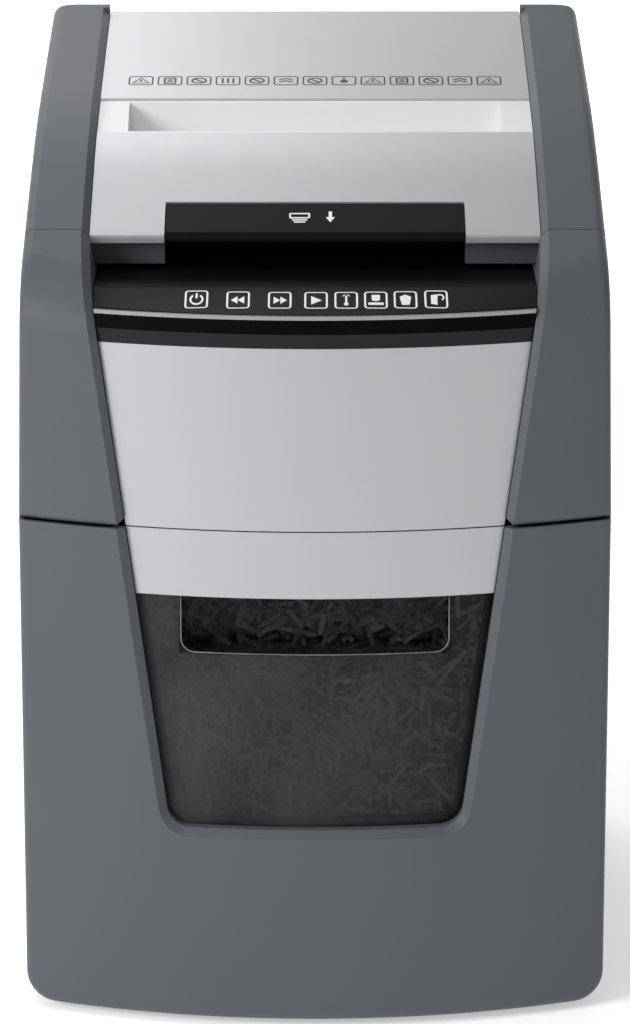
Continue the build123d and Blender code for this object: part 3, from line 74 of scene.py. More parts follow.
# Everything is in metres in the frame's own axes: X right, Y back, Z up.
MM = 0.001
BOW_R = 442.6 * MM            # radius of the casing's bowed front
BOW_Y = 239.6 * MM            # its centre
FIELD_INSET = 7.0 * MM        # key field's front edge behind the casing's face
HEAP_INSET = 15.9 * MM        # heap of shreds behind the casing's face
FRONT_SLOPE = math.tan(math.radians(20.4))
REAR_SLOPE = math.tan(math.radians(9.5))
PRINT_LIFT = 0.12 * MM        # printed marks stand this far above their panel
PRINT_THICK = 0.08 * MM
KEY_X = np.array([-68.0, -44.1, -20.2, 0.6, 17.9, 34.9, 51.9, 69.5]) * MM
FIELD_DEPTH = 41.0 * MM       # key field's back edge behind the skirt's front
KEY_ROW = 23.0 * MM           # middle of the row of keys behind the skirt's front
KEY_BOW = 0.45                # share of the front's bow that the row of keys follows
SIGN_ROW = 31.0 * MM          # row of signs behind the rear panel's front edge
SIGN_LINE = 0.95 * MM         # width of a sign's frame
SIGN_CORNER_R = 1.6 * MM
KEY_PEN, SIGN_PEN, LEVER_PEN = 0.17, 0.16, 0.14    # line widths inside marks, in half widths of the mark
KEY_SCALE, SIGN_SCALE = 1.08, 1.15                 # marks against their frames
WINDOW_INSET = 10.0 * MM      # window's face behind the casing's face
PULL_HALF = 78.0 * MM         # finger pocket in the window
PULL_BOTTOM = 229.0 * MM
PULL_CORNER_R = 8.0 * MM
PULL_SHOWN_TOP = 263.0 * MM
PULL_BACK = -165.0 * MM       # shreds stay behind this plane at the pocket
SHELF_TOP = 225.8 * MM        # highest point of the shreds under the pocket's floor
CORE_DEPTH = 9.0 * MM         # lump under the shreds, below their surface
WELD = 0.001 * MM             # points closer than this become one

# Area lights: name, place, side in metres, power in watts.
LIGHTS = (("key", (-2.1, -1.7, 1.4), 1.1, 46.0),
          ("fill", (1.9, -1.7, 1.0), 1.2, 3.0),
          ("top", (-0.4, -0.5, 2.2), 0.9, 9.0),
          ("rear", (-0.8, 2.0, 2.2), 1.6, 19.0),
          ("cove", (0.0, 2.2, 2.6), 2.4, 70.0))
COVE_AIM = (0.0, 3.6, 1.0)    # the cove light shines on the backdrop, the others on the object
SKY_STRENGTH = 0.27
COVE_FRONT = -6.0             # floor's front edge
COVE_R = 1.5                  # floor bends up into the backdrop
COVE_BACK = 4.0
COVE_TOP = 1.7
COVE_HALF = 7.0
CAMERA_PLACE = (0.0, -2.7690, 1.05407)
CAMERA_TILT = 74.0
CAMERA_LENS = 163.58


# ------------------------------------------------------------------ colours and nodes
def linear(code):
    """Linear RGB of an sRGB hex colour."""
    parts = [int(code[i:i + 2], 16) / 255 for i in (1, 3, 5)]
    return tuple(c / 12.92 if c <= 0.04045 else ((c + 0.055) / 1.055) ** 2.4 for c in parts)


def add(tree, kind, feeds=None, **settings):
    """Adds a node: settings are its properties, feeds its inputs as values or as (node, output) links."""
    node = tree.nodes.new(kind)
    for key, value in settings.items():
        setattr(node, key, value)
    for key, value in (feeds or {}).items():
        if isinstance(value, tuple) and isinstance(value[0], bpy.types.Node):
            tree.links.new(value[0].outputs[value[1]], node.inputs[key])
        else:
            node.inputs[key].default_value = value
    return node


def start(name):
    """A new material with its shader and object coordinates: (material, tree, shader, coordinates)."""
    material = bpy.data.materials.new(name)
    material.use_nodes = True
    tree = material.node_tree
    shader = tree.nodes["Principled BSDF"]
    place = add(tree, "ShaderNodeTexCoord")
    return material, tree, shader, place


def set_shader(shader, **values):
    """Sets uniform values on the shader's own sockets; underscores stand for spaces."""
    for key, value in values.items():
        shader.inputs[key.replace("_", " ")].default_value = value


def noise(tree, place, size, detail=2.0, stretch=(1.0, 1.0, 1.0)):
    """Noise whose features are about size metres across."""
    spread = add(tree, "ShaderNodeMapping", {"Vector": (place, "Object"), "Scale": stretch})
    return add(tree, "ShaderNodeTexNoise",
               {"Vector": (spread, "Vector"), "Scale": 1.0 / size, "Detail": detail})


def blend(tree, factor, first, second):
    """Mix of two colours by a factor output."""
    node = add(tree, "ShaderNodeMix", data_type="RGBA")
    tree.links.new(factor[0].outputs[factor[1]], node.inputs[0])
    node.inputs[6].default_value = (*first, 1.0)
    node.inputs[7].default_value = (*second, 1.0)
    return node


def shaded(colour, amount):
    """A colour made darker or lighter by a factor."""
    return tuple(min(c * amount, 1.0) for c in colour)


def surface(name, colour, rough, grain, depth, spread=0.06, streak=(1.0, 1.0, 1.0), **values):
    """A finish with a fine surface grain, slow colour drift and uneven gloss.

    grain is the grain's size and depth its height, in metres; spread is how far the colour drifts."""
    material, tree, shader, place = start(name)
    set_shader(shader, **values)
    broad = noise(tree, place, 90 * MM, 3.0)
    fine = noise(tree, place, grain, 2.0, streak)
    tone = add(tree, "ShaderNodeMath", {0: (broad, "Fac"), 1: (fine, "Fac")}, operation="MULTIPLY")
    mixed = blend(tree, (tone, "Value"), shaded(colour, 1.0 - spread), shaded(colour, 1.0 + 2 * spread))
    tree.links.new(mixed.outputs[2], shader.inputs["Base Color"])
    gloss = add(tree, "ShaderNodeMapRange", {"Value": (fine, "Fac"), "From Min": 0.3, "From Max": 0.7,
                                             "To Min": rough - 0.04, "To Max": rough + 0.05})
    tree.links.new(gloss.outputs["Result"], shader.inputs["Roughness"])
    bump = add(tree, "ShaderNodeBump", {"Height": (fine, "Fac"), "Strength": 1.0, "Distance": depth})
    tree.links.new(bump.outputs["Normal"], shader.inputs["Normal"])
    return material


# ------------------------------------------------------------------ the object's materials
def make_finishes(colours):
    """All materials by the record's slot name."""
    finishes = {}
    # ABS from a spark-eroded mould: fine even grain, almost matte, with faint wide highlights.
    # The real grain of 0.1 mm is too fine to show and is drawn at 0.9 mm.
    finishes["casing_grey"] = surface("satin_abs_graphite", colours.casing[:], 0.42, 0.9 * MM, 0.02 * MM,
                                      0.05, IOR=1.52, Specular_IOR_Level=0.12)
    # ABS in black from a lightly grained mould: dull and faintly bluish.
    finishes["black_plastic"] = surface("moulded_abs_black", linear("#0d0e10"), 0.5, 0.8 * MM, 0.015 * MM,
                                        0.1, IOR=1.52, Specular_IOR_Level=0.08)
    # ABS in charcoal: the matte band under the display.
    finishes["charcoal"] = surface("satin_abs_charcoal", linear("#1c1d1f"), 0.45, 0.9 * MM, 0.02 * MM, 0.06,
                                   IOR=1.52, Specular_IOR_Level=0.2)
    # Polished acrylic: a smooth deep black, very slightly wavy, with a weak clear reflection.
    finishes["gloss_black"] = surface("polished_acrylic_black", linear("#030304"), 0.12, 45 * MM, 0.02 * MM,
                                      0.1, IOR=1.49, Specular_IOR_Level=0.05)
    # ABS sprayed with silver lacquer: small metal flakes in a satin clear layer.
    # Flakes of 0.05 mm are drawn at 0.8 mm, as a faint sparkle.
    finishes["silver_panel"] = surface("silver_lacquer", colours.panel[:], 0.4, 0.8 * MM, 0.006 * MM,
                                       0.035, Metallic=0.55, Coat_Weight=0.25, Coat_Roughness=0.25)
    # Pale ABS: almost white, satin.
    finishes["pale_plastic"] = surface("satin_abs_pale", linear("#e9eaeb"), 0.36, 0.9 * MM, 0.012 * MM, 0.02,
                                       IOR=1.52)
    # Machined and ground steel: fine lines along the shaft.
    finishes["steel"] = surface("ground_steel", linear("#a9aaab"), 0.32, 0.6 * MM, 0.01 * MM, 0.08,
                                (0.1, 1.0, 1.0), Metallic=1.0)
    # Moulded nylon: milky and waxy.
    finishes["nylon"] = surface("moulded_nylon", linear("#dcd8cc"), 0.45, 1.2 * MM, 0.01 * MM, 0.04,
                                Subsurface_Weight=0.1, Subsurface_Scale=1.0 * MM)
    # Sintered bronze: porous and dull.
    finishes["bronze"] = surface("sintered_bronze", linear("#a07a48"), 0.45, 0.5 * MM, 0.02 * MM, 0.15,
                                 Metallic=1.0)
    # Moulded rubber: matte and dusty.
    finishes["rubber"] = surface("moulded_rubber", linear("#1c1c1d"), 0.75, 0.7 * MM, 0.03 * MM, 0.2)
    # Solder mask on fibreglass: glossy green, a little uneven.
    finishes["board_green"] = surface("solder_mask", linear("#1c5a35"), 0.28, 0.8 * MM, 0.01 * MM, 0.12,
                                      Coat_Weight=0.4, Coat_Roughness=0.15)
    # Stove enamel on pressed steel: dark, faintly orange-peeled.
    finishes["motor_paint"] = surface("stove_enamel", linear("#3a3b3e"), 0.35, 2.5 * MM, 0.03 * MM, 0.08)
    # Screen-printed ink: flat white, faintly uneven.
    finishes["ink"] = surface("screen_ink_white", linear("#f4f4f2"), 0.5, 0.4 * MM, 0.004 * MM, 0.03)
    finishes["smoky_window"] = smoky_acrylic(colours.window[:])
    finishes["paper"] = office_paper()
    # Trim strip: its pale grey is a painted highlight for the line of light along the fascia's edge; darker
    # and smoother than the panels, with less metal in it.
    finishes["trim"] = surface("trim_lacquer", linear("#9b9c9e"), 0.3, 0.8 * MM, 0.004 * MM, 0.02,
                               Metallic=0.3)
    return finishes


def smoky_acrylic(colour):
    """Tinted acrylic sheet, injection moulded: dark and clear, with a grey sheen painted into its colour and
    opacity.

    The painted sheen stands for the studio's reflection in the sheet, in cloudy patches. It is strongest at
    the left end, where the key light stands, and thins out to the right. The finger pocket has none."""
    material, tree, shader, place = start("smoky_acrylic")
    set_shader(shader, IOR=1.49, Roughness=0.14, Specular_IOR_Level=0.14)
    parts = add(tree, "ShaderNodeSeparateXYZ", {"Vector": (place, "Object")})
    low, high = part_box("bin_window")
    sideways = add(tree, "ShaderNodeMath", {0: (parts, "X")}, operation="ABSOLUTE")
    beside = add(tree, "ShaderNodeMath", {0: (sideways, "Value"), 1: PULL_HALF + 1 * MM},
                 operation="GREATER_THAN")
    below = add(tree, "ShaderNodeMath", {0: (parts, "Z"), 1: PULL_BOTTOM - 1 * MM}, operation="LESS_THAN")
    painted_sheen_area = add(tree, "ShaderNodeMath", {0: (beside, "Value"), 1: (below, "Value")}, operation="MAXIMUM")
    clouds = noise(tree, place, 60 * MM, 3.0)
    # Painted light: the sheen is made heavier at the left end, where the key light stands, and lighter at
    # the right.
    drift = add(tree, "ShaderNodeMapRange", {"Value": (parts, "X"), "From Min": low.x, "From Max": high.x,
                                             "To Min": 1.5, "To Max": 0.45})
    cloudy = add(tree, "ShaderNodeMath", {0: (drift, "Result"), 1: (clouds, "Fac")}, operation="MULTIPLY")
    painted_sheen = add(tree, "ShaderNodeMath", {0: (painted_sheen_area, "Value"), 1: (cloudy, "Value")}, operation="MULTIPLY")
    # The grey #4d4e4f is the painted sheen: a painted reflection of the bright studio, mixed into the
    # window's own dark tint.
    mixed = blend(tree, (painted_sheen, "Value"), colour, linear("#4d4e4f"))
    tree.links.new(mixed.outputs[2], shader.inputs["Base Color"])
    # The sheet is also drawn more opaque where the painted sheen lies.
    veil = add(tree, "ShaderNodeMapRange", {"Value": (painted_sheen, "Value"), "From Min": 0.0, "From Max": 0.6,
                                            "To Min": 0.46, "To Max": 0.64})
    tree.links.new(veil.outputs["Result"], shader.inputs["Alpha"])
    return material


def office_paper():
    """Uncoated office paper, cut to shreds: matte white, some strips printed grey; the lump in the heap's
    depth is painted dark grey as painted shade.

    A strip's own tone comes from the attribute "tone"."""
    material, tree, shader, place = start("office_paper")
    set_shader(shader, Roughness=0.85, IOR=1.45)
    tone = add(tree, "ShaderNodeAttribute", attribute_name="tone")
    fibres = noise(tree, place, 1.1 * MM, 3.0)
    both = add(tree, "ShaderNodeMath", {0: (tone, "Fac"), 1: (fibres, "Fac")}, operation="MULTIPLY")
    scaled = add(tree, "ShaderNodeMapRange", {"Value": (both, "Value"), "From Min": 0.05, "From Max": 0.6})
    mixed = blend(tree, (scaled, "Result"), linear("#1d1d1e"), linear("#efeeea"))
    tree.links.new(mixed.outputs[2], shader.inputs["Base Color"])
    bump = add(tree, "ShaderNodeBump", {"Height": (fibres, "Fac"), "Strength": 0.6, "Distance": 0.05 * MM})
    tree.links.new(bump.outputs["Normal"], shader.inputs["Normal"])
    return material


# ------------------------------------------------------------------ meshes from numpy grids
def bow_y(x, inset):
    """Depth of the bowed front at x: circle of the casing's bow with its radius less by the inset."""
    return BOW_Y - np.sqrt((BOW_R - inset) ** 2 - x ** 2)


def grid_quads(rows, cols, close_cols=False):
    """Quads of a grid of points stored row by row; the last column may join the first."""
    i, j = np.meshgrid(np.arange(rows - 1), np.arange(cols if close_cols else cols - 1), indexing="ij")
    k = (j + 1) % cols
    return np.stack([i * cols + j, i * cols + k, (i + 1) * cols + k, (i + 1) * cols + j], -1).reshape(-1, 4)


def joined(shapes):
    """Several (points, quads) shapes as one."""
    starts = np.cumsum([0] + [len(points) for points, _ in shapes[:-1]])
    return (np.concatenate([points for points, _ in shapes]),
            np.concatenate([quads + first for (_, quads), first in zip(shapes, starts)]))


def make_piece(name, points, quads, body, material, smooth=False):
    """A mesh object from arrays, with its finish, riding on a body."""
    mesh = bpy.data.meshes.new(name)
    mesh.from_pydata(points, [], quads)
    mesh.update()
    mesh.polygons.foreach_set("use_smooth", np.full(len(mesh.polygons), smooth))
    mesh.materials.append(material)
    piece = bpy.data.objects.new(name, mesh)
    bpy.context.scene.collection.objects.link(piece)
    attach(piece, body)
    return piece


def weld(mesh, turn_outwards=False):
    """Merges points that lie together, and turns a closed shape's faces outwards where asked."""
    work = bmesh.new()
    work.from_mesh(mesh)
    bmesh.ops.remove_doubles(work, verts=work.verts, dist=WELD)
    if turn_outwards:
        bmesh.ops.recalc_face_normals(work, faces=work.faces)
    work.to_mesh(mesh)
    work.free()


def tube(path, radius, sides=8):
    """Round bead along a path, closed at its ends: point = path + radius (cos turn side + sin turn forward).

    side lies square to the path and to the front, so the path mustn't run front to back."""
    along = np.gradient(path, axis=0)
    along /= np.linalg.norm(along, axis=1, keepdims=True)
    side = np.cross(along, (0.0, -1.0, 0.0))
    side /= np.linalg.norm(side, axis=1, keepdims=True)
    forward = np.cross(side, along)
    turn = np.linspace(0, 2 * np.pi, sides, endpoint=False)[None, :, None]
    ring = np.cos(turn) * side[:, None, :] + np.sin(turn) * forward[:, None, :]
    points = path[:, None, :] + radius * ring
    first, last = (np.repeat(end[:, None, :], sides, axis=1) for end in (path[:1], path[-1:]))
    points = np.concatenate([first, points, last])
    return points.reshape(-1, 3), grid_quads(len(points), sides, True)


# ------------------------------------------------------------------ flat marks: strokes and fills in plan
def rounded(width, height, radius, per_corner=5):
    """Closed outline of a rounded rectangle: four arcs, point = corner centre + radius (cos, sin)."""
    angle = np.linspace(0, np.pi / 2, per_corner)
    turn = np.repeat(np.arange(4) * np.pi / 2, per_corner) + np.tile(angle, 4)
    sign_x = np.repeat([1, -1, -1, 1], per_corner)
    sign_y = np.repeat([1, 1, -1, -1], per_corner)
    x = sign_x * (width / 2 - radius) + radius * np.cos(turn)
    y = sign_y * (height / 2 - radius) + radius * np.sin(turn)
    return np.stack([x, y], -1)


def stroke(path, width, closed=False):
    """Ribbon along a path: each point moved half a width to either side along the path's normal."""
    path = np.asarray(path, float)
    if closed:
        ahead, behind = np.roll(path, -1, 0), np.roll(path, 1, 0)
    else:
        ahead = np.concatenate([path[1:], path[-1:]])
        behind = np.concatenate([path[:1], path[:-1]])
    along = ahead - behind
    along /= np.linalg.norm(along, axis=1, keepdims=True)
    side = np.stack([-along[:, 1], along[:, 0]], -1) * width / 2
    points = np.concatenate([path - side, path + side])
    return points, grid_quads(2, len(path), closed)


def fill(outline):
    """Filled outline: point = centre + s (outline - centre), s in two rings of quads."""
    outline = np.asarray(outline, float)
    centre = outline.mean(0)
    s = np.array([1.0, 0.5, 0.02])[:, None, None]
    points = (centre + s * (outline - centre)).reshape(-1, 2)
    return points, grid_quads(3, len(outline), True)


def arc(radius, start_deg, end_deg, count=18, centre=(0.0, 0.0)):
    """Arc of a circle, point = centre + radius (cos, sin)."""
    turn = np.radians(np.linspace(start_deg, end_deg, count))
    return np.stack([centre[0] + radius * np.cos(turn), centre[1] + radius * np.sin(turn)], -1)


def key_glyphs(pen):
    """The eight key marks in a square of two units, as lists of shapes."""
    left = [(-0.05, 0.42), (-0.62, 0.0), (-0.05, -0.42)]
    right = [(-0.42, 0.5), (0.5, 0.0), (-0.42, -0.5)]
    small = [(0.05, 0.42), (0.62, 0.0), (0.05, -0.42)]
    shift = np.array([0.58, 0.0])
    power = [stroke(arc(0.52, 125, 415, 24), pen), stroke([(0, 0.12), (0, 0.4), (0, 0.68)], pen)]
    back = [fill(left), fill(np.array(left) + shift)]
    forward = [fill(small), fill(np.array(small) - shift)]
    play = [fill(right)]
    heat = [stroke([(0, -0.2), (0, 0.1), (0, 0.5)], pen * 1.1), fill(arc(0.2, 0, 345, 14, (0, -0.42)))]
    heat += [stroke(arc(0.34, first, first + 50, 6, (0, 0.3)), pen * 0.5) for first in (30, 100)]
    tray = [fill([(0.36, 0.6), (0.0, 0.6), (-0.36, 0.6), (-0.36, 0.0), (0.0, -0.14), (0.36, 0.0)])]
    tray += [stroke([(-0.66, -0.42), (0.0, -0.42), (0.66, -0.42)], pen * 1.6)]
    bucket = [fill([(0.36, 0.42), (0, 0.58), (-0.36, 0.42), (-0.5, 0.3), (-0.32, -0.58), (0.32, -0.58),
                    (0.5, 0.3)])]
    door = [fill([(0.1, 0.55), (-0.45, 0.45), (-0.45, -0.5), (0.1, -0.6)])]
    door += [stroke(arc(0.3, 200, -60, 14, (0.34, 0.22)), pen * 0.8)]
    return [power, back, forward, play, heat, tray, bucket, door]


def sign_glyphs(pen):
    """Plain marks for the row of signs: triangle, sheet, ring and bar, chevrons and bars."""
    triangle = [stroke([(-0.6, -0.5), (0, 0.6), (0.6, -0.5)], pen, True)]
    triangle += [stroke([(0, -0.2), (0, 0.1), (0, 0.2)], pen)]
    sheet = [stroke(rounded(0.8, 1.1, 0.12), pen, True)]
    sheet += [stroke([(-0.2, y), (0, y), (0.2, y)], pen) for y in (0.15, -0.15)]
    ring = [stroke(arc(0.52, 0, 345, 22), pen, True), stroke([(-0.36, 0.36), (0, 0), (0.36, -0.36)], pen)]
    bars = [stroke([(x, -0.5), (x, 0.0), (x, 0.5)], pen) for x in (-0.4, 0.0, 0.4)]
    chevron = [stroke([(-0.5, y - 0.3), (0, y), (0.5, y - 0.3)], pen) for y in (0.0, 0.45)]
    drop = [fill(arc(0.3, 0, 345, 14, (0, -0.15))), stroke([(0, 0.2), (0, 0.4), (0, 0.6)], pen)]
    return [triangle, sheet, ring, bars, ring, chevron, ring, drop, triangle, sheet, ring, chevron, triangle]


def placed(shapes, x, y, half_x, half_y):
    """Glyph shapes scaled from their square to a place in plan."""
    return [(points * (half_x, half_y) + (x, y), quads) for points, quads in shapes]


def printed(name, shapes, height, body, material):
    """Printed marks: flat shapes lifted onto a panel by its height function, with a skin of ink."""
    plan, quads = joined(shapes)
    points = np.column_stack([plan, height(plan[:, 0], plan[:, 1]) + PRINT_LIFT])
    a, b, c = points[quads[:, 0]], points[quads[:, 1]], points[quads[:, 3]]
    down = np.cross(b - a, c - a)[:, 2] < 0
    quads = np.where(down[:, None], quads[:, ::-1], quads)
    piece = make_piece(name, points, quads, body, material)
    skin = piece.modifiers.new("ink", "SOLIDIFY")
    skin.thickness = PRINT_THICK
    skin.offset = -1.0
    return piece


def field_height(x, y):
    """Key field: straight lines from its bowed front edge up to its straight back edge."""
    front_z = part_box("control_trim")[1].z
    back_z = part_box("control_panel")[1].z
    front_y = bow_y(x, FIELD_INSET)
    back_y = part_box("control_skirt")[0].y + FIELD_DEPTH
    return front_z + (back_z - front_z) * (y - front_y) / (back_y - front_y)


def rear_height(_, y):
    """Rear panel: a plane, the same all across, that falls from its back edge at the rear slope."""
    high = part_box("lid_rear_panel")[1]
    return high.z - (high.y - y) * REAR_SLOPE


def lever_height(_, y):
    """Lever: a plane, the same all across, that falls from its back edge at the front slope."""
    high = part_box("lid_release_lever")[1]
    return high.z - (high.y - y) * FRONT_SLOPE


# ------------------------------------------------------------------ the heap of shreds
def heap_front(x, inset=0.0):
    """Depth of the heap's bowed front."""
    return bow_y(x, HEAP_INSET + inset)


def heap_crown(y):
    """Height of the heap's top along its depth: straight runs through five points."""
    low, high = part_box("paper_shreds")
    along = np.array([low.y, -143 * MM, 15 * MM, 105 * MM, high.y])
    return np.interp(y, along, high.z - np.array([4.0, 2.0, 0.0, 12.0, 44.0]) * MM)


def heap_core(inset):
    """Closed lump under the shreds: rows go from the middle of its underside out, up the wall and in again.

    A row is the plan's outline scaled about the middle by s, at height t between floor and crown. Two
    crossed sines ripple its top, and it is pushed in where the finger pocket is."""
    low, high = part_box("paper_shreds")
    half = high.x - inset
    x = np.linspace(-half, half, 90)
    corners = np.array([[half, high.y - inset], [-half, high.y - inset], [-half, heap_front(-half, inset)]])
    path = np.concatenate([np.column_stack([x, heap_front(x, inset)]), corners])
    steps = np.concatenate([[0], np.cumsum(np.linalg.norm(np.diff(path, axis=0), axis=1))])
    at = np.linspace(0, steps[-1], 321)[:-1]
    plan = np.column_stack([np.interp(at, steps, path[:, 0]), np.interp(at, steps, path[:, 1])])
    s = np.concatenate([[0.0, 0.5], np.ones(40), np.linspace(0.96, 0.0, 22)])
    t = np.concatenate([[0.0, 0.0], np.linspace(0, 1, 40), np.ones(22)])
    middle = np.array([0.0, 20 * MM])
    flat = middle + s[:, None, None] * (plan - middle)
    top = heap_crown(flat[..., 1]) - inset
    z = low.z + t[:, None] * (top - low.z)
    x, y = flat[..., 0], flat[..., 1]
    ripple = np.sin(x * 190 + z * 130) * np.sin(y * 170 - z * 90) * 1.6 * MM
    on_top = (s[:, None] < 0.97) & (t[:, None] > 0.5)
    z = np.where(on_top, z + ripple, z)
    in_pocket = (np.abs(x) < PULL_HALF + 6 * MM) & (z > PULL_BOTTOM - 7 * MM)
    y = np.where(in_pocket, np.maximum(y, PULL_BACK - 0.4 * MM + inset), y)
    return np.stack([x, y, z], -1).reshape(-1, 3), grid_quads(len(s), len(plan), True)


def strip_points(centre, along, across, length, width, curl, twist, rows=6):
    """Curled strips: point = centre + along a + normal (curl a squared) + across w, turned by twist a."""
    a = np.linspace(-0.5, 0.5, rows)[None, :, None, None] * length[:, None, None, None]
    w = np.array([-0.5, 0.5])[None, None, :, None] * width[:, None, None, None]
    up = np.cross(along, across)
    turn = twist[:, None, None, None] * a
    side = across[:, None, None, :] * np.cos(turn) + up[:, None, None, :] * np.sin(turn)
    bend = up[:, None, None, :] * (curl[:, None, None, None] * (a ** 2))
    return centre[:, None, None, :] + along[:, None, None, :] * a + bend + side * w


def make_strips(rng, centre, normal, sizes):
    """Shreds about given centres, lying roughly across the given normals."""
    count = len(centre)
    lean = normal + rng.normal(0, 0.28, (count, 3))
    lean /= np.linalg.norm(lean, axis=1, keepdims=True)
    guess = rng.normal(0, 1, (count, 3))
    along = np.cross(lean, guess)
    along /= np.linalg.norm(along, axis=1, keepdims=True)
    across = np.cross(lean, along)
    length = rng.uniform(0.5, 1.15, count) * sizes.strip_length
    width = rng.uniform(0.8, 1.15, count) * sizes.strip_width
    curl = rng.normal(0, 9.0, count)
    twist = rng.normal(0, 16.0, count)
    return strip_points(centre, along, across, length, width, curl, twist)


def heap_strips(sizes):
    """All shreds of the heap as one array of grids, kept inside the heap's form, and each strip's tone."""
    rng = np.random.default_rng(7)
    low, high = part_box("paper_shreds")
    half = high.x - 3 * MM
    count = sizes.front_strips
    x = rng.uniform(-half, half, count)
    z = rng.uniform(low.z + 80 * MM, high.z - 12 * MM, count)
    depth = rng.uniform(0.0, 1.0, count) ** 0.8 * 11 * MM
    pocket = (np.abs(x) < PULL_HALF - 1 * MM) & (z > PULL_BOTTOM - 1 * MM)
    y = np.where(pocket, PULL_BACK, heap_front(x)) + 0.4 * MM + depth
    front = make_strips(rng, np.column_stack([x, y, z]), np.tile([0.0, -1.0, 0.0], (count, 1)), sizes)
    count = sizes.top_strips
    x = rng.uniform(-half, half, count)
    y = rng.uniform(heap_front(0.0) + 2 * MM, high.y - 3 * MM, count)
    z = heap_crown(y) - rng.uniform(0.5, 9.0, count) * MM
    top = make_strips(rng, np.column_stack([x, y, z]), np.tile([0.0, 0.0, 1.0], (count, 1)), sizes)
    count = sizes.ledge_strips
    x = rng.uniform(-PULL_HALF, PULL_HALF, count)
    y = rng.uniform(heap_front(x) + 4 * MM, PULL_BACK - 1 * MM)
    z = SHELF_TOP - 0.3 * MM - rng.uniform(0.0, 4.0, count) * MM
    ledge = make_strips(rng, np.column_stack([x, y, z]), np.tile([0.0, 0.0, 1.0], (count, 1)), sizes)
    ledge[..., 2] = np.minimum(ledge[..., 2], SHELF_TOP)
    top = np.concatenate([top, ledge])
    points = np.concatenate([front, top])
    px, py, pz = points[..., 0], points[..., 1], points[..., 2]
    py = np.clip(py, heap_front(np.clip(px, -half, half)) + 0.2 * MM, high.y - 0.5 * MM)
    px = np.clip(px, -high.x + 0.5 * MM, high.x - 0.5 * MM)
    pz = np.minimum(pz, heap_crown(py) - 0.2 * MM)
    wall = PULL_BACK - 0.2 * MM
    in_zone = (np.abs(px) < PULL_HALF + 3 * MM) & (pz > PULL_BOTTOM - 3 * MM) & (py < wall)
    deep = np.concatenate([pocket, np.zeros(len(top), bool)])[:, None, None]
    py = np.where(in_zone & deep, wall, py)
    straddles = (in_zone & ~deep).any(axis=(1, 2)) | ((py < PULL_BACK - 1 * MM) & deep).any(axis=(1, 2))
    points = np.stack([px, py, pz], -1)[~straddles]
    tone = rng.choice([0.35, 0.6, 0.8, 1.0], len(points), p=[0.2, 0.3, 0.3, 0.2])
    return points, tone


# ------------------------------------------------------------------ a user's sizes and colours
class ShredderSizes(bpy.types.PropertyGroup):
    """Sizes of the printed marks and of the shreds."""

    key_width: FloatProperty(name="Key mark width", description="Width of a key's outline",
                             default=12.4 * MM, unit="LENGTH", min=0.0)
    key_depth: FloatProperty(name="Key mark depth", description="Front to back of a key's outline",
                             default=22.0 * MM, unit="LENGTH", min=0.0)
    pen: FloatProperty(name="Line width", description="Width of the printed outlines", default=1.1 * MM,
                       unit="LENGTH", min=0.0)
    sign_width: FloatProperty(name="Sign width", description="Side of a sign on the rear panel",
                              default=14.4 * MM, unit="LENGTH", min=0.0)
    sign_pitch: FloatProperty(name="Sign pitch", description="Distance between signs", default=17.95 * MM,
                              unit="LENGTH", min=0.0)
    strip_length: FloatProperty(name="Shred length", description="Mean length of a shred", default=24 * MM,
                                unit="LENGTH", min=0.0)
    strip_width: FloatProperty(name="Shred width", description="Mean width of a shred", default=2.6 * MM,
                               unit="LENGTH", min=0.0)
    bead: FloatProperty(name="Pocket edge", description="Radius of the bead round the finger pocket",
                        default=0.4 * MM, unit="LENGTH", min=0.0)
    front_strips: IntProperty(name="Shreds in front", description="Shreds behind the window",
                              default=4200, min=0)
    ledge_strips: IntProperty(name="Shreds under the pocket",
                              description="Shreds under the finger pocket's floor", default=420, min=0)
    top_strips: IntProperty(name="Shreds on top", description="Shreds on the heap's top",
                            default=3600, min=0)


class ShredderColours(bpy.types.PropertyGroup):
    """Colours of the large surfaces."""

    casing: FloatVectorProperty(name="Casing", description="Graphite casing", subtype="COLOR", min=0, max=1,
                                default=linear("#5c6065"))
    panel: FloatVectorProperty(name="Panels", description="Silver panels", subtype="COLOR", min=0, max=1,
                               default=linear("#b9bbbe"))
    window: FloatVectorProperty(name="Window", description="Smoky window", subtype="COLOR", min=0, max=1,
                                default=linear("#050506"))


def finish_of(name):
    """A material that the finishes operator has made."""
    return bpy.data.materials[name]


# ------------------------------------------------------------------ operators
class SHREDDER_OT_finishes(bpy.types.Operator):
    """Give every part of the frame its finish"""

    bl_idname = "shredder.finishes"
    bl_label = "Finish the parts"

    def execute(self, context):
        finishes = make_finishes(context.scene.shredder_colours)
        own = {"control_trim": "trim", "control_skirt": "charcoal"}
        for name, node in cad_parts.items():
            slot = own.get(name) or node.material_slots[0].material.name.split(".")[0]
            for place in node.material_slots:
                place.material = finishes[slot]
        return {"FINISHED"}


class SHREDDER_OT_key_icons(bpy.types.Operator):
    """Print the eight key marks on the key field"""

    bl_idname = "shredder.key_icons"
    bl_label = "Key marks"

    def execute(self, context):
        sizes = context.scene.shredder_sizes
        half_x, half_y = sizes.key_width / 2, sizes.key_depth / 2
        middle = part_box("control_skirt")[0].y + KEY_ROW
        outline = rounded(2.0, 2.0, 0.26)
        shapes = []
        for x, glyph in zip(KEY_X, key_glyphs(KEY_PEN)):
            bow = BOW_R - math.sqrt(BOW_R ** 2 - x ** 2)
            y = middle + bow * KEY_BOW
            path = outline * (half_x, half_y) + (x, y)
            shapes.append(stroke(path, sizes.pen, True))
            shapes += placed(glyph, x, y, half_x * KEY_SCALE, half_y * KEY_SCALE)
        printed("key_icons", shapes, field_height, "cabinet", finish_of("screen_ink_white"))
        return {"FINISHED"}


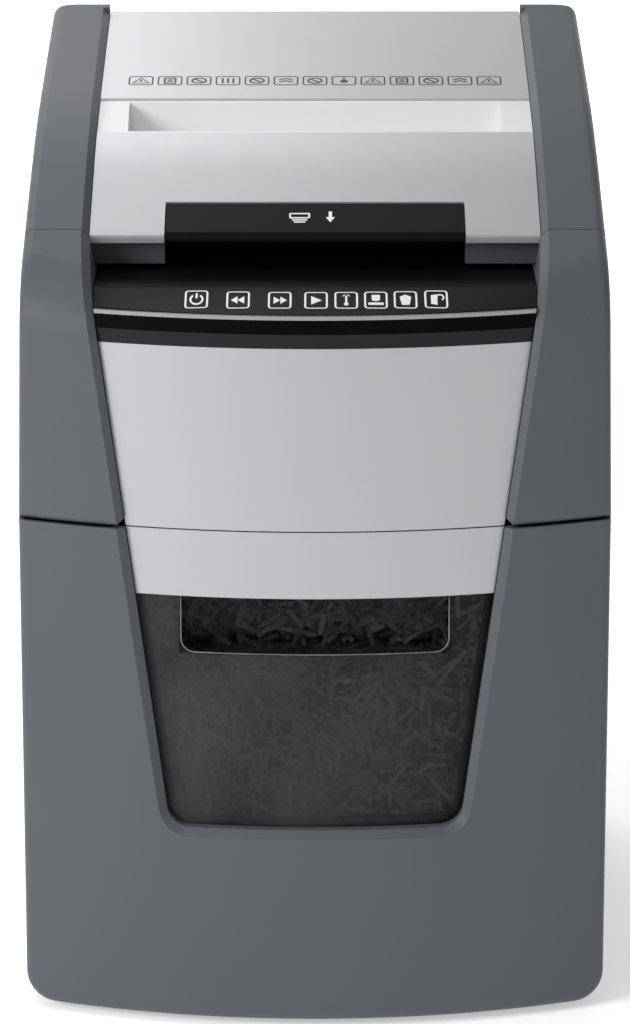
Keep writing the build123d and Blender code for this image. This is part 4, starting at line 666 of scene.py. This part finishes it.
class SHREDDER_OT_guide_signs(bpy.types.Operator):
    """Print the row of small framed signs on the rear panel"""

    bl_idname = "shredder.guide_signs"
    bl_label = "Signs on the rear panel"

    def execute(self, context):
        sizes = context.scene.shredder_sizes
        low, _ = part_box("lid_rear_panel")
        y = low.y + SIGN_ROW
        half = sizes.sign_width / 2
        outline = rounded(sizes.sign_width, sizes.sign_width, SIGN_CORNER_R)
        glyphs = sign_glyphs(SIGN_PEN)
        shapes = []
        for k, glyph in enumerate(glyphs):
            x = (k - (len(glyphs) - 1) / 2) * sizes.sign_pitch
            shapes.append(stroke(outline + (x, y), SIGN_LINE, True))
            shapes += placed(glyph, x, y, half * SIGN_SCALE, half * SIGN_SCALE)
        # Screen-printed ink in dark grey: flat, faintly uneven.
        ink = surface("screen_ink_grey", linear("#232426"), 0.5, 0.4 * MM, 0.004 * MM, 0.05)
        printed("guide_signs", shapes, rear_height, "lid", ink)
        return {"FINISHED"}


class SHREDDER_OT_lever_mark(bpy.types.Operator):
    """Print the sheets-going-in mark on the lever"""

    bl_idname = "shredder.lever_mark"
    bl_label = "Lever mark"

    def execute(self, context):
        low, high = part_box("lid_release_lever")
        y = (low.y + high.y) / 2 + 1.5 * MM
        mark = [stroke(rounded(1.5, 0.5, 0.06), LEVER_PEN, True)]
        mark += [stroke([(-0.6, -0.5), (0.0, -0.5), (0.6, -0.5)], LEVER_PEN)]
        mark += [stroke([(-0.45, -0.75), (0, -0.75), (0.45, -0.75)], LEVER_PEN)]
        arrow = [fill([(-0.3, 0.0), (0.0, -0.55), (0.3, 0.0)])]
        arrow += [stroke([(0.0, 0.0), (0.0, 0.3), (0.0, 0.6)], LEVER_PEN * 1.6)]
        shapes = placed(mark, -9 * MM, y + 1.5 * MM, 7.5 * MM, 8.5 * MM)
        shapes += placed(arrow, 9 * MM, y, 9.0 * MM, 9.5 * MM)
        printed("lever_mark", shapes, lever_height, "lever", finish_of("screen_ink_white"))
        return {"FINISHED"}


class SHREDDER_OT_pocket_edge(bpy.types.Operator):
    """Run the polished bead round the mouth of the window's finger pocket"""

    bl_idname = "shredder.pocket_edge"
    bl_label = "Finger pocket edge"

    def execute(self, context):
        radius = context.scene.shredder_sizes.bead
        turn = np.linspace(0, np.pi / 2, 12)
        inner_x, inner_z = PULL_HALF - PULL_CORNER_R, PULL_BOTTOM + PULL_CORNER_R
        right = np.column_stack([inner_x + PULL_CORNER_R * np.sin(turn),
                                 inner_z - PULL_CORNER_R * np.cos(turn)])
        up = np.column_stack([np.full(14, PULL_HALF), np.linspace(inner_z + 1 * MM, PULL_SHOWN_TOP, 14)])
        half = np.concatenate([right, up])
        level = np.column_stack([np.linspace(-inner_x, inner_x, 60)[1:-1], np.full(58, PULL_BOTTOM)])
        x, z = np.concatenate([half[::-1] * (-1, 1), level, half]).T
        points, quads = tube(np.stack([x, bow_y(x, WINDOW_INSET), z], -1), radius)
        # Flame-polished acrylic edge: its pale grey is a painted highlight, and its brighter patches along
        # its length are painted glints.
        edge = surface("polished_acrylic_edge", linear("#77797b"), 0.25, 12 * MM, 0.01 * MM, 0.5, IOR=1.49)
        piece = make_piece("pocket_edge", points, quads, "bin", edge, True)
        weld(piece.data, turn_outwards=True)
        return {"FINISHED"}


class SHREDDER_OT_paper_heap(bpy.types.Operator):
    """Fill the bin with cut paper"""

    bl_idname = "shredder.paper_heap"
    bl_label = "Paper shreds"

    def execute(self, context):
        points, tone = heap_strips(context.scene.shredder_sizes)
        count, rows = points.shape[:2]
        one = grid_quads(rows, 2)
        quads = (one[None] + (np.arange(count) * rows * 2)[:, None, None]).reshape(-1, 4)
        core_points, core_quads = heap_core(CORE_DEPTH)
        flat, all_quads = joined([(points.reshape(-1, 3), quads), (core_points, core_quads)])
        heap = make_piece("shred_heap", flat, all_quads, "bin", finish_of("office_paper"))
        # The strips keep their printed tones. The lump under them gets 0.22, a painted shade for the dark
        # depths between the shreds.
        tone_and_painted_shade = np.concatenate([np.repeat(tone, rows * 2), np.full(len(core_points), 0.22)])
        layer = heap.data.attributes.new("tone", "FLOAT", "POINT")
        layer.data.foreach_set("value", tone_and_painted_shade.astype(np.float32))
        weld(heap.data)
        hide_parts("paper_shreds")
        return {"FINISHED"}


def add_backdrop(scene):
    """Floor that bends up into a wall: in section a straight run, a quarter circle and a short upright."""
    turn = np.linspace(0, np.pi / 2, 16)
    bend = np.column_stack([COVE_BACK - COVE_R + COVE_R * np.sin(turn), COVE_R - COVE_R * np.cos(turn)])
    profile = np.concatenate([[[COVE_FRONT, 0.0]], bend, [[COVE_BACK, COVE_TOP]]])
    points = np.array([[[x, y, z] for x in (-COVE_HALF, COVE_HALF)] for y, z in profile]).reshape(-1, 3)
    mesh = bpy.data.meshes.new("floor")
    mesh.from_pydata(points, [], grid_quads(len(profile), 2)[:, ::-1])
    mesh.polygons.foreach_set("use_smooth", np.ones(len(mesh.polygons), bool))
    # Matte studio paint: even and almost white.
    mesh.materials.append(surface("studio_paint", linear("#fafafa"), 0.8, 3 * MM, 0.01 * MM, 0.005,
                                  Emission_Color=(1.0, 1.0, 1.0, 1.0), Emission_Strength=0.4))
    floor = bpy.data.objects.new("floor", mesh)
    scene.collection.objects.link(floor)
    floor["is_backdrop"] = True


def add_lights(scene):
    """Soft square lights, and an even white sky."""
    low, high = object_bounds()
    target = (low + high) / 2
    for name, place, size, power in LIGHTS:
        lamp = bpy.data.lights.new(name, "AREA")
        lamp.shape = "SQUARE"
        lamp.size = size
        lamp.energy = power
        holder = bpy.data.objects.new(name, lamp)
        holder.location = place
        aim = Vector(COVE_AIM) if name == "cove" else target
        holder.rotation_euler = (aim - holder.location).to_track_quat("-Z", "Y").to_euler()
        scene.collection.objects.link(holder)
    sky = bpy.data.worlds.new("studio")
    sky.use_nodes = True
    background = sky.node_tree.nodes["Background"]
    background.inputs["Color"].default_value = (1.0, 1.0, 1.0, 1.0)
    background.inputs["Strength"].default_value = SKY_STRENGTH
    scene.world = sky


def add_camera(scene):
    """A long lens in front of the object, looking down on it a little."""
    camera = bpy.data.cameras.new("camera")
    camera.lens = CAMERA_LENS
    camera.sensor_width = 36.0
    camera.clip_end = 50.0
    holder = bpy.data.objects.new("camera", camera)
    holder.location = CAMERA_PLACE
    holder.rotation_euler = (math.radians(CAMERA_TILT), 0.0, 0.0)
    scene.collection.objects.link(holder)
    scene.camera = holder


class SHREDDER_OT_stage(bpy.types.Operator):
    """Set up the floor, the soft lights and the camera"""

    bl_idname = "shredder.stage"
    bl_label = "Stage"

    def execute(self, context):
        add_backdrop(context.scene)
        add_lights(context.scene)
        add_camera(context.scene)
        context.scene.view_settings.view_transform = "Standard"
        return {"FINISHED"}


class SHREDDER_PT_sidebar(bpy.types.Panel):
    """Buttons for each step"""

    bl_idname = "SHREDDER_PT_sidebar"
    bl_label = "Paper shredder"
    bl_space_type = "VIEW_3D"
    bl_region_type = "UI"
    bl_category = "Shredder"

    def draw(self, context):
        for step in STEPS:
            self.layout.operator(step.bl_idname)


STEPS = (SHREDDER_OT_finishes, SHREDDER_OT_key_icons, SHREDDER_OT_guide_signs, SHREDDER_OT_lever_mark,
         SHREDDER_OT_pocket_edge, SHREDDER_OT_paper_heap, SHREDDER_OT_stage)
CLASSES = (ShredderSizes, ShredderColours, *STEPS, SHREDDER_PT_sidebar)


def register():
    for item in CLASSES:
        bpy.utils.register_class(item)
    bpy.types.Scene.shredder_sizes = PointerProperty(type=ShredderSizes)
    bpy.types.Scene.shredder_colours = PointerProperty(type=ShredderColours)


def unregister():
    del bpy.types.Scene.shredder_sizes
    del bpy.types.Scene.shredder_colours
    for item in reversed(CLASSES):
        bpy.utils.unregister_class(item)


def main():
    """Registers the add-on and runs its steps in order."""
    register()
    bpy.ops.shredder.finishes()
    bpy.ops.shredder.key_icons()
    bpy.ops.shredder.guide_signs()
    bpy.ops.shredder.lever_mark()
    bpy.ops.shredder.pocket_edge()
    bpy.ops.shredder.paper_heap()
    bpy.ops.shredder.stage()


if __name__ == "__main__":
    main()
